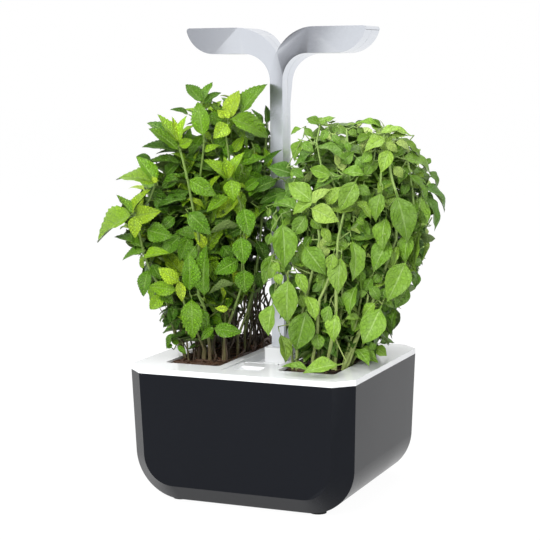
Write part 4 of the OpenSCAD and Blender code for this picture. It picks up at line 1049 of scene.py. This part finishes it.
basilKeyLeaves = [
    (31, -60, 234, 34, -63, 199, 21, 9, 0.45, 0), (56, -59, 254, 34, -56, 268, 16, 11, 0.6, 0),
    (57, -60, 253, 40, -60, 243, 12, 39, 0.65, 0), (57, -60, 253, 72, -56, 264, 11, 41, 0.85, 0),
    (57, -60, 248, 79, -57, 238, 16, 0, 0.8, 0), (68, -55, 252, 79, -50, 266, 12, 22, 0.75, 0),
    (89, -49, 269, 78, -56, 246, 16, 0, 0.55, 1), (69, -53, 275, 52, -54, 280, 11, 0, 0.5, 0),
    (69, -54, 274, 59, -56, 269, 7, 27, 0.6, 0), (94, -42, 275, 77, -48, 277, 11, 34, 0.45, 0),
    (58, -49, 297, 81, -45, 284, 16, 56, 0.35, 0), (39, -37, 301, 34, -40, 284, 11, 38, 0.5, 1),
    (54, -36, 315, 42, -35, 319, 8, 19, 0.4, 0), (55, -36, 315, 66, -31, 320, 8, 51, 0.5, 3),
    (39, -39, 311, 30, -39, 306, 6, 45, 0.5, 0), (101, -22, 312, 92, -24, 319, 7, 0, 0.35, 0),
    (101, -24, 312, 81, -35, 314, 10, 58, 0.5, 1), (104, -29, 307, 123, -11, 305, 12, 58, 0.7, 1),
    (112, -33, 294, 108, -41, 276, 12, 7, 0.7, 0), (107, -31, 303, 95, -44, 293, 12, 26, 0.7, 1),
    (120, -20, 286, 135, 5, 273, 19, 57, 0.5, 1), (122, -13, 295, 129, -4, 287, 8, 52, 0.5, 1),
    (130, 9, 281, 132, 14, 286, 5, 0, 0.3, 0), (115, -29, 281, 121, -25, 272, 8, 0, 0.85, 1),
    (107, -36, 259, 104, -41, 237, 14, 28, 0.5, 1), (89, -47, 253, 100, -42, 239, 11, 46, 0.7, 1),
    (118, -29, 256, 126, -26, 220, 22, 6, 0.42, 0), (110, -33, 239, 109, -37, 213, 16, 29, 0.5, 1),
    (111, -29, 221, 101, -38, 196, 17, 19, 0.4, 1), (124, -16, 225, 122, -21, 202, 14, 25, 0.45, 1),
    (130, -5, 226, 128, -9, 193, 20, 55, 0.6, 1), (117, -25, 216, 115, -29, 199, 10, 33, 0.65, 1),
    (122, -23, 202, 111, -34, 172, 21, 0, 0.5, 1), (126, 0, 192, 124, -1, 180, 8, 10, 0.2, 1),
    (120, -9, 180, 112, -17, 164, 12, 3, 0.3, 1), (112, -12, 162, 109, -13, 141, 13, 52, 0.3, 1),
    (104, -32, 165, 92, -39, 137, 21, 0, 0.5, 1), (100, -33, 170, 91, -37, 159, 9, 17, 0.6, 1),
    (89, -44, 184, 84, -46, 160, 15, 45, 0.45, 1), (86, -50, 221, 88, -53, 190, 18, 43, 0.5, 1),
    (80, -56, 208, 78, -57, 180, 17, 24, 0.6, 0), (74, -58, 212, 71, -61, 198, 10, 0, 0.65, 1),
    (51, -59, 216, 68, -59, 195, 18, 0, 0.42, 1), (64, -56, 232, 71, -56, 220, 8, 5, 0.7, 2),
    (43, -59, 195, 51, -59, 179, 10, 12, 0.6, 1), (36, -61, 189, 35, -60, 154, 21, 16, 0.55, 0),
    (19, -52, 167, 14, -50, 141, 16, 36, 0.55, 0), (24, -57, 200, 17, -55, 189, 8, 21, 0.55, 1),
    (21, -55, 202, 28, -58, 195, 7, 0, 0.6, 1), (25, -58, 194, 29, -59, 185, 8, 0, 0.65, 1),
    (31, -56, 196, 23, -55, 202, 6, 0, 0.5, 0), (49, -55, 163, 40, -55, 131, 22, 0, 0.4, 0),
    (50, -57, 176, 58, -57, 157, 12, 30, 0.65, 1), (68, -51, 169, 65, -51, 153, 10, 19, 0.45, 1),
    (74, -50, 162, 72, -51, 139, 14, 27, 0.62, 1), (90, -39, 158, 79, -46, 158, 8, 47, 0.6, 0),
    (25, -52, 142, 30, -53, 120, 13, 34, 0.7, 1), (56, -48, 145, 57, -47, 131, 11, 0, 0.45, 1),
    (42, -56, 246, 22, -52, 252, 13, 45, 0.35, 0), (50, -57, 242, 39, -58, 226, 13, 0, 0.4, 1),
    (54, -54, 239, 63, -54, 231, 9, 0, 0.5, 1), (123, -18, 273, 133, -1, 248, 12, 58, 0.4, 1),
    (129, 0, 263, 137, 38, 239, 13, 58, 0.15, 1), (130, 4, 254, 135, 16, 225, 15, 58, 0.15, 1),
    (131, 11, 274, 135, 22, 260, 11, 56, 0.25, 1), (116, -28, 300, 124, -19, 294, 8, 38, 0.95, 1),
    (110, -33, 300, 118, -29, 293, 7, 0, 0.85, 1), (122, -16, 305, 111, -28, 303, 10, 51, 0.8, 0),
    (77, -47, 273, 55, -53, 262, 15, 53, 0.3, 0), (89, -43, 265, 99, -39, 259, 9, 0, 0.45, 1),
    (98, -35, 245, 88, -42, 237, 9, 35, 0.35, 1), (89, -44, 240, 95, -43, 235, 6, 0, 0.5, 1),
    (75, -42, 284, 84, -37, 293, 10, 0, 0.35, 0), (87, -39, 288, 94, -37, 280, 10, 0, 0.3, 1),
    (98, -36, 282, 94, -40, 274, 8, 0, 0.4, 1), (104, -27, 269, 111, -21, 258, 9, 18, 0.25, 1),
    (94, -33, 261, 92, -35, 250, 8, 0, 0.3, 1), (121, -13, 279, 116, -20, 266, 9, 22, 0.35, 1),
    (121, -9, 266, 117, -14, 255, 8, 24, 0.25, 1), (126, -5, 249, 124, -11, 235, 9, 21, 0.35, 1),
    (125, -10, 238, 123, -12, 229, 6, 0, 0.3, 1), (43, -45, 300, 53, -45, 292, 8, 0, 0.35, 1),
    (49, -39, 305, 41, -38, 312, 6, 0, 0.45, 0), (61, -38, 310, 57, -41, 301, 7, 0, 0.4, 1),
    (51, -44, 293, 39, -46, 280, 11, 53, 0.15, 0), (37, -47, 282, 56, -46, 286, 12, 53, 0.2, 0),
    (45, -49, 272, 34, -48, 278, 7, 12, 0.25, 0), (66, -38, 306, 73, -37, 298, 6, 0, 0.35, 1),
    (67, -31, 312, 65, -34, 307, 5, 0, 0.4, 1), (77, -35, 300, 80, -36, 292, 6, 0, 0.3, 1),
    (78, -31, 310, 84, -29, 305, 6, 0, 0.5, 1), (84, -29, 311, 89, -27, 307, 6, 0, 0.45, 1),
    (90, -30, 306, 86, -35, 299, 7, 0, 0.4, 1), (70, -31, 311, 75, -30, 307, 5, 0, 0.45, 1),
    (75, -36, 294, 68, -38, 300, 7, 0, 0.25, 0), (64, -39, 300, 61, -41, 292, 6, 0, 0.3, 1),
    (91, -33, 230, 96, -30, 222, 6, 7, 0.2, 1), (97, -32, 191, 91, -34, 179, 8, 0, 0.3, 1),
    (104, -28, 193, 98, -32, 187, 8, 0, 0.35, 1), (88, -41, 197, 93, -37, 188, 8, 0, 0.35, 1),
    (59, -47, 187, 52, -48, 179, 7, 0, 0.25, 1), (59, -46, 164, 63, -43, 146, 11, 39, 0.3, 1),
    (72, -42, 175, 76, -40, 167, 6, 14, 0.3, 1), (87, -37, 177, 95, -35, 180, 6, 0, 0.45, 1),
    (97, -34, 185, 103, -29, 172, 9, 0, 0.35, 1), (51, -49, 225, 45, -50, 216, 7, 0, 0.25, 1),
    (76, -42, 231, 87, -37, 222, 8, 49, 0.2, 1), (74, -51, 220, 63, -54, 217, 7, 47, 0.6, 1),
    (35, -48, 207, 41, -49, 199, 7, 0, 0.2, 1), (16, -49, 226, 12, -47, 216, 7, 0, 0.4, 1),
    (38, -52, 227, 41, -52, 218, 6, 0, 0.35, 1), (44, -54, 177, 47, -54, 166, 8, 0, 0.6, 1),
    (27, -52, 173, 15, -49, 175, 7, 19, 0.4, 1), (106, -24, 182, 103, -25, 172, 8, 0, 0.3, 1),
    (106, -19, 171, 104, -20, 161, 6, 0, 0.25, 1), (95, -27, 137, 97, -24, 130, 6, 0, 0.35, 1),
    (125, -3, 228, 123, -6, 237, 7, 0, 0.3, 0), (115, -18, 309, 104, -29, 308, 9, 53, 0.6, 0),
    (97, -30, 307, 92, -34, 304, 6, 0, 0.5, 0), (120, -16, 300, 127, -8, 292, 7, 33, 0.6, 1),
    (87, -38, 302, 96, -31, 306, 7, 19, 0.5, 0), (98, -36, 292, 91, -41, 284, 8, 0, 0.45, 1),
    (83, -44, 239, 77, -47, 245, 6, 0, 0.4, 0), (133, 12, 239, 134, 17, 247, 6, 6, 0.2, 0),
    (129, 1, 242, 131, 7, 231, 8, 53, 0.3, 1), (123, -3, 200, 128, 5, 202, 7, 0, 0.25, 1),
    (82, -72, 125, 58, -85, 119, 14, 40, 0.6, 0), (60, -78, 120, 35, -75, 121, 8, 58, 0.5, 0),
    (80, -16, 124, 103, -31, 121, 15, 35, 0.5, 1), (91, -5, 128, 101, -4, 122, 10, 20, 0.6, 1),
    (83, 31, 126, 91, 47, 124, 8, 50, 0.2, 0), (86, -36, 131, 101, -48, 121, 11, 30, 0.45, 1),
    (28, -29, 273, 7, -34, 279, 14, 20, 0.12, 0), (12, -33, 248, 34, -36, 251, 11, 30, 0.3, 0),
    (19, -35, 246, 29, -36, 237, 10, 10, 0.3, 1), (8, -33, 245, 8, -35, 237, 4, 0, 0.6, 1),
    (14, -33, 240, 12, -35, 226, 5, 0, 0.4, 1), (15, -40, 207, 7, -44, 182, 12, 15, 0.42, 1),
    (16, -30, 183, 11, -33, 167, 14, 0, 0.12, 1), (19, -42, 204, 18, -44, 194, 9, 5, 0.6, 1),
    (24, -32, 258, 18, -35, 245, 12, 15, 0.2, 1), (20, -28, 200, 19, -30, 189, 12, 0, 0.15, 1),
]

# the bare twigs at the back corner of the mint, foot and tip, in millimetres
mintKeyTwigs = [
    (-29, 35, -33, 29, 172), (-30, 45, -30, 39, 174), (-29, 25, -33, 19, 170), (-34, 40, -24, 34, 172),
    (-34, 30, -24, 24, 172), (-31, 50, -49, 44, 166), (-32, 15, -22, 9, 172), (-35, 50, -27, 44, 162),
    (-36, 42, -48, 36, 172), (-29, 35, -29, 29, 164), (-32, 22, -19, 16, 168), (-31, 55, -32, 49, 166),
]


def growPlants():
    mint = Plant(-1, mintBlade, mintForms, grids["mint"], 7)
    basil = Plant(1, basilBlade, basilForms, grids["basil"], 11)
    for plant, stems, leaves, tips, habit in ((mint, mintKeyStems, mintKeyLeaves, mintTips, mintHabit),
                                              (basil, basilKeyStems, basilKeyLeaves, basilTips, basilHabit)):
        for radius, points in stems:
            path = [Vector(p) * millimetre for p in reversed(points)]
            count = len(path)
            plant.addStem(path, [radius * millimetre * between(1.1, 0.6, i / count) for i in range(count)])
        for leaf in leaves:
            placeKeyLeaf(plant, *leaf)
        for tip in tips:
            growShoot(plant, tip, habit)
    return mint, basil


mint, basil = growPlants()


def twig(rnd, foot, tip, bow, wiggle, radius, count=10):
    points = curvePath(foot, tip, (tip - foot) * bow, count)
    for point in points[1:-1]:
        point += Vector((rnd.uniform(-1, 1), rnd.uniform(-1, 1), rnd.uniform(-0.5, 0.5))) * wiggle
    return points, [radius * (1 - 0.05 * j) for j in range(count)]


def growWood(plant, count):
    # bare woody stems between the ground and the leaves, forked and crossing
    rnd = plant.random
    side = plant.side
    paths = []
    for i in range(count):
        x, y = side * well["x"] + rnd.uniform(-0.019, 0.019), well["y"] + rnd.uniform(-0.056, 0.060)
        foot = Vector((x, y, well["woodFoot"]))
        tip = foot + Vector((rnd.uniform(-0.03, 0.03), rnd.uniform(-0.025, 0.025), rnd.uniform(0.045, 0.085)))
        if not (isFree(tip, side) and isInsideOutline(tip, side) and isBehindFront(tip, side, 12)):
            continue
        radius = rnd.uniform(0.0005, 0.0012)
        paths.append(twig(rnd, foot, tip, rnd.uniform(0.2, 1.8), 0.0024, radius))
        for fork in range(rnd.randrange(3)):
            start = paths[-1][0][rnd.randrange(3, 7)]
            step = (rnd.uniform(-0.022, 0.022), rnd.uniform(-0.022, 0.022), rnd.uniform(0.006, 0.035))
            end = start + Vector(step)
            if isFree(end, side) and isBehindFront(end, side, 14):
                paths.append(twig(rnd, start.copy(), end, rnd.uniform(0, 1), 0.0016, radius * 0.6, 7))
    for fx, fy, tx, ty, tz in mintKeyTwigs if side < 0 else []:
        foot, tip = Vector((fx, fy, 111)) * millimetre, Vector((tx, ty, tz)) * millimetre
        paths.append(twig(rnd, foot, tip, rnd.uniform(0.2, 1.4), 0.0026, rnd.uniform(0.0009, 0.0014)))
    return paths


# how far runners may wander from the middle of a well and along it, in metres
rootBed = {"halfX": 0.0228, "front": -0.0595, "back": 0.0675, "points": 13, "stepX": 0.004, "stepY": 0.0045,
           "turn": 0.8}


def growRoots(plant, count, top):
    # runners that lie tangled on the ground, heaped towards the back of the well
    rnd = plant.random
    bed, middle = rootBed, plant.side * well["x"]
    paths = []
    for i in range(count):
        x = middle + rnd.uniform(-0.021, 0.021)
        y = well["y"] + rnd.uniform(-0.060, 0.056)
        heading = rnd.uniform(-3.1, 3.1)
        heap = limited((y + 0.035) / 0.05, 0.15, 1.0)
        height = rnd.uniform(0.0003, top) * heap
        points = []
        for j in range(bed["points"]):
            arch = math.sin(math.pi * (j + 0.5) / bed["points"])
            points.append(Vector((x, y, well["ground"] + height * arch)))
            heading += rnd.uniform(-bed["turn"], bed["turn"])
            x = limited(x + math.sin(heading) * bed["stepX"], middle - bed["halfX"], middle + bed["halfX"])
            y = limited(y + math.cos(heading) * bed["stepY"], bed["front"], bed["back"])
        paths.append((points, [rnd.uniform(0.0004, 0.0011)] * bed["points"]))
    return paths


groundShape = {"halfX": 0.0245, "halfY": 0.0655, "corner": 0.0036, "thickness": 0.0005, "rough": 0.0014,
               "lump": 0.0016}


def buildGround(plant, name, mound):
    # the top of the growing medium, heaped along the middle of its well and up against its walls
    bpy.ops.mesh.primitive_grid_add(x_subdivisions=28, y_subdivisions=72, size=2, location=(0, 0, 0))
    ground = bpy.context.object
    ground.name = name
    corner = groundShape["corner"]
    straightX, straightY = groundShape["halfX"] - corner, groundShape["halfY"] - corner
    for point in ground.data.vertices:
        u, v = point.co.x, point.co.y
        x, y = u * groundShape["halfX"], v * groundShape["halfY"]
        inX, inY = abs(x) - straightX, abs(y) - straightY
        if inX > 0 and inY > 0:
            shrink = corner / max(corner, math.hypot(inX, inY))
            x = math.copysign(straightX + inX * shrink, x)
            y = math.copysign(straightY + inY * shrink, y)
        edge = (1 - abs(u) ** 4) * (1 - abs(v) ** 12)
        rough = noise.fractal(Vector((x, y, plant.side)) * 160, 0.8, 2.0, 4) * groundShape["rough"]
        lump = noise.noise(Vector((x, y, 3.0)) * 55) * groundShape["lump"]
        z = well["ground"] + edge * (mound + rough + lump)
        point.co = (plant.side * well["x"] + x, well["y"] + y, z)
    applyModifier(ground, "SOLIDIFY", thickness=groundShape["thickness"], offset=-1)
    smooth(ground, 60)
    return ground


def buildLeaves(plant, name):
    made = []
    for mesh in plant.leaves:
        leaf = bpy.data.objects.new(name, mesh)
        bpy.context.scene.collection.objects.link(leaf)
        made.append(leaf)
    return joinAll(made, name)


growth = {"mint": dict(mound=0.0006, twigs=34, roots=190, rootTop=0.0085),
          "basil": dict(mound=0.0002, twigs=5, roots=30, rootTop=0.0020)}


def buildPlants():
    for plant, label, body in ((mint, "mint", "mint_pod"), (basil, "basil", "basil_pod")):
        amounts = growth[label]
        leafSlot, stemSlot = label + "_leaf", label + "_stem"
        leaves = buildLeaves(plant, label + "Leaves")
        finishPiece(leaves, body, materials[leafSlot], leafSlot, label + "_foliage")
        stems = buildTubes(plant.stems, label + "Stems")
        finishPiece(stems, body, materials[stemSlot], stemSlot, label + "_stems")
        ground = buildGround(plant, label + "Ground", amounts["mound"])
        finishPiece(ground, body, materials["growing_medium"], "growing_medium")
        wood = buildTubes(growWood(plant, amounts["twigs"]), label + "Wood")
        finishPiece(wood, body, materials["mint_wood"], "mint_stem")
        roots = buildTubes(growRoots(plant, amounts["roots"], amounts["rootTop"]), label + "Roots")
        finishPiece(roots, body, materials["mint_roots"], "mint_stem")
        triangles = sum(len(face.vertices) - 2 for face in leaves.data.polygons)
        print(label, len(plant.leaves), "leaves,", triangles, "triangles,", len(plant.stems), "stems")


buildPlants()

# place, aim and size in metres, power in watts; mirrored panels show in reflections
panels = {
    "keyPanel": dict(place=(-0.9, -1.3, 1.5), aim=(0, 0, 0.25), size=(1.1, 1.1), power=13.0, mirrored=True),
    "fillPanel": dict(place=(1.5, -0.7, 1.4), aim=(0, 0, 0.2), size=(1.0, 1.0), power=13.0, mirrored=False),
    "frontPanel": dict(place=(0.0, -1.9, 1.25), aim=(0, 0, 0.2), size=(0.8, 1.0), power=33.0, mirrored=False),
    "topPanel": dict(place=(0.1, 0.2, 1.8), aim=(0, 0, 0.2), size=(1.2, 1.0), power=11.5, mirrored=True),
}


def panelLight(name, place, aim, size, power, mirrored):
    bpy.ops.object.light_add(type="AREA", location=place)
    panel = bpy.context.object
    panel.name = name
    panel.data.shape = "RECTANGLE"
    panel.data.size, panel.data.size_y = size
    panel.data.energy = power
    panel.rotation_euler = (Vector(aim) - Vector(place)).to_track_quat("-Z", "Y").to_euler()
    panel.visible_camera = False
    panel.visible_glossy = mirrored


# upright cards that only show in reflections, as studio flags do: azimuth in degrees from the front
darkCards = {
    "flagLeft": dict(azimuth=-59, distance=1.6, width=1.2, height=1.6, low=0.0, grey=0.02),
    "flagMiddle": dict(azimuth=-32.3, distance=1.65, width=0.42, height=1.6, low=0.0, grey=0.42),
    "flagRight": dict(azimuth=64, distance=1.4, width=0.8, height=1.2, low=0.12, grey=0.12),
}


def stageMaterial(name):
    material = bpy.data.materials.new(name)
    material.use_nodes = True
    tree = material.node_tree
    return material, tree, tree.nodes["Principled BSDF"], tree.nodes["Material Output"]


def darkCard(name, azimuth, distance, width, height, low, grey):
    angle = math.radians(azimuth)
    place = (math.sin(angle) * distance, -math.cos(angle) * distance, low + height / 2)
    bpy.ops.mesh.primitive_plane_add(size=1, location=place, rotation=(math.pi / 2, 0, angle))
    card = bpy.context.object
    card.name = name
    card.scale = (width, height, 1)
    material, tree, shader, output = stageMaterial(name)
    tree.nodes.remove(shader)
    glow = addNode(tree, "Emission", Color=(grey, grey, grey * 1.03, 1), Strength=1.0)
    link(tree, glow.outputs["Emission"], output.inputs["Surface"])
    card.data.materials.append(material)
    card.visible_camera = False
    card.visible_diffuse = False
    card.visible_shadow = False
    card.visible_transmission = False


def seenDirectly(tree):
    # one for camera, mirror and see-through rays, nothing for the light that falls on the object
    rays = addNode(tree, "LightPath")
    seen = mathNode(tree, "MAXIMUM", rays.outputs["Is Camera Ray"], rays.outputs["Is Glossy Ray"])
    return mathNode(tree, "MAXIMUM", seen, rays.outputs["Is Transmission Ray"])


# ambient lights the object; the floor glows white by seenShare and keeps the object's shadow in the rest
surroundings = {"ambient": 0.48, "ambientColour": (0.97, 0.985, 1, 1), "floorSize": 24, "floorGrey": 0.62,
                "floorWhite": 1.07, "seenShare": 0.9}


def setWorld():
    world = bpy.data.worlds.new("studio")
    bpy.context.scene.world = world
    world.use_nodes = True
    tree = world.node_tree
    around = tree.nodes["Background"]
    around.inputs["Color"].default_value = surroundings["ambientColour"]
    around.inputs["Strength"].default_value = surroundings["ambient"]
    white = addNode(tree, "Background", Color=(1, 1, 1, 1), Strength=1.0)
    mix = addNode(tree, "MixShader")
    link(tree, seenDirectly(tree), mix.inputs[0])
    link(tree, around.outputs[0], mix.inputs[1])
    link(tree, white.outputs[0], mix.inputs[2])
    link(tree, mix.outputs[0], tree.nodes["World Output"].inputs["Surface"])


def layFloor():
    bpy.ops.mesh.primitive_plane_add(size=surroundings["floorSize"], location=(0, 0, 0))
    floor = bpy.context.object
    floor.name = "studioFloor"
    material, tree, shader, output = stageMaterial("studioFloor")
    shader.inputs["Base Color"].default_value = (*[surroundings["floorGrey"]] * 3, 1)
    shader.inputs["Roughness"].default_value = 0.9
    glow = addNode(tree, "Emission", Color=(*[surroundings["floorWhite"]] * 3, 1), Strength=1.0)
    mix = addNode(tree, "MixShader")
    link(tree, mathNode(tree, "MULTIPLY", seenDirectly(tree), surroundings["seenShare"]), mix.inputs[0])
    link(tree, shader.outputs[0], mix.inputs[1])
    link(tree, glow.outputs[0], mix.inputs[2])
    link(tree, mix.outputs[0], output.inputs["Surface"])
    floor.data.materials.append(material)


setWorld()
layFloor()
for name, settings in panels.items():
    panelLight(name, **settings)
for name, settings in darkCards.items():
    darkCard(name, **settings)
bpy.context.scene.view_settings.view_transform = "Standard"
print("studio set")
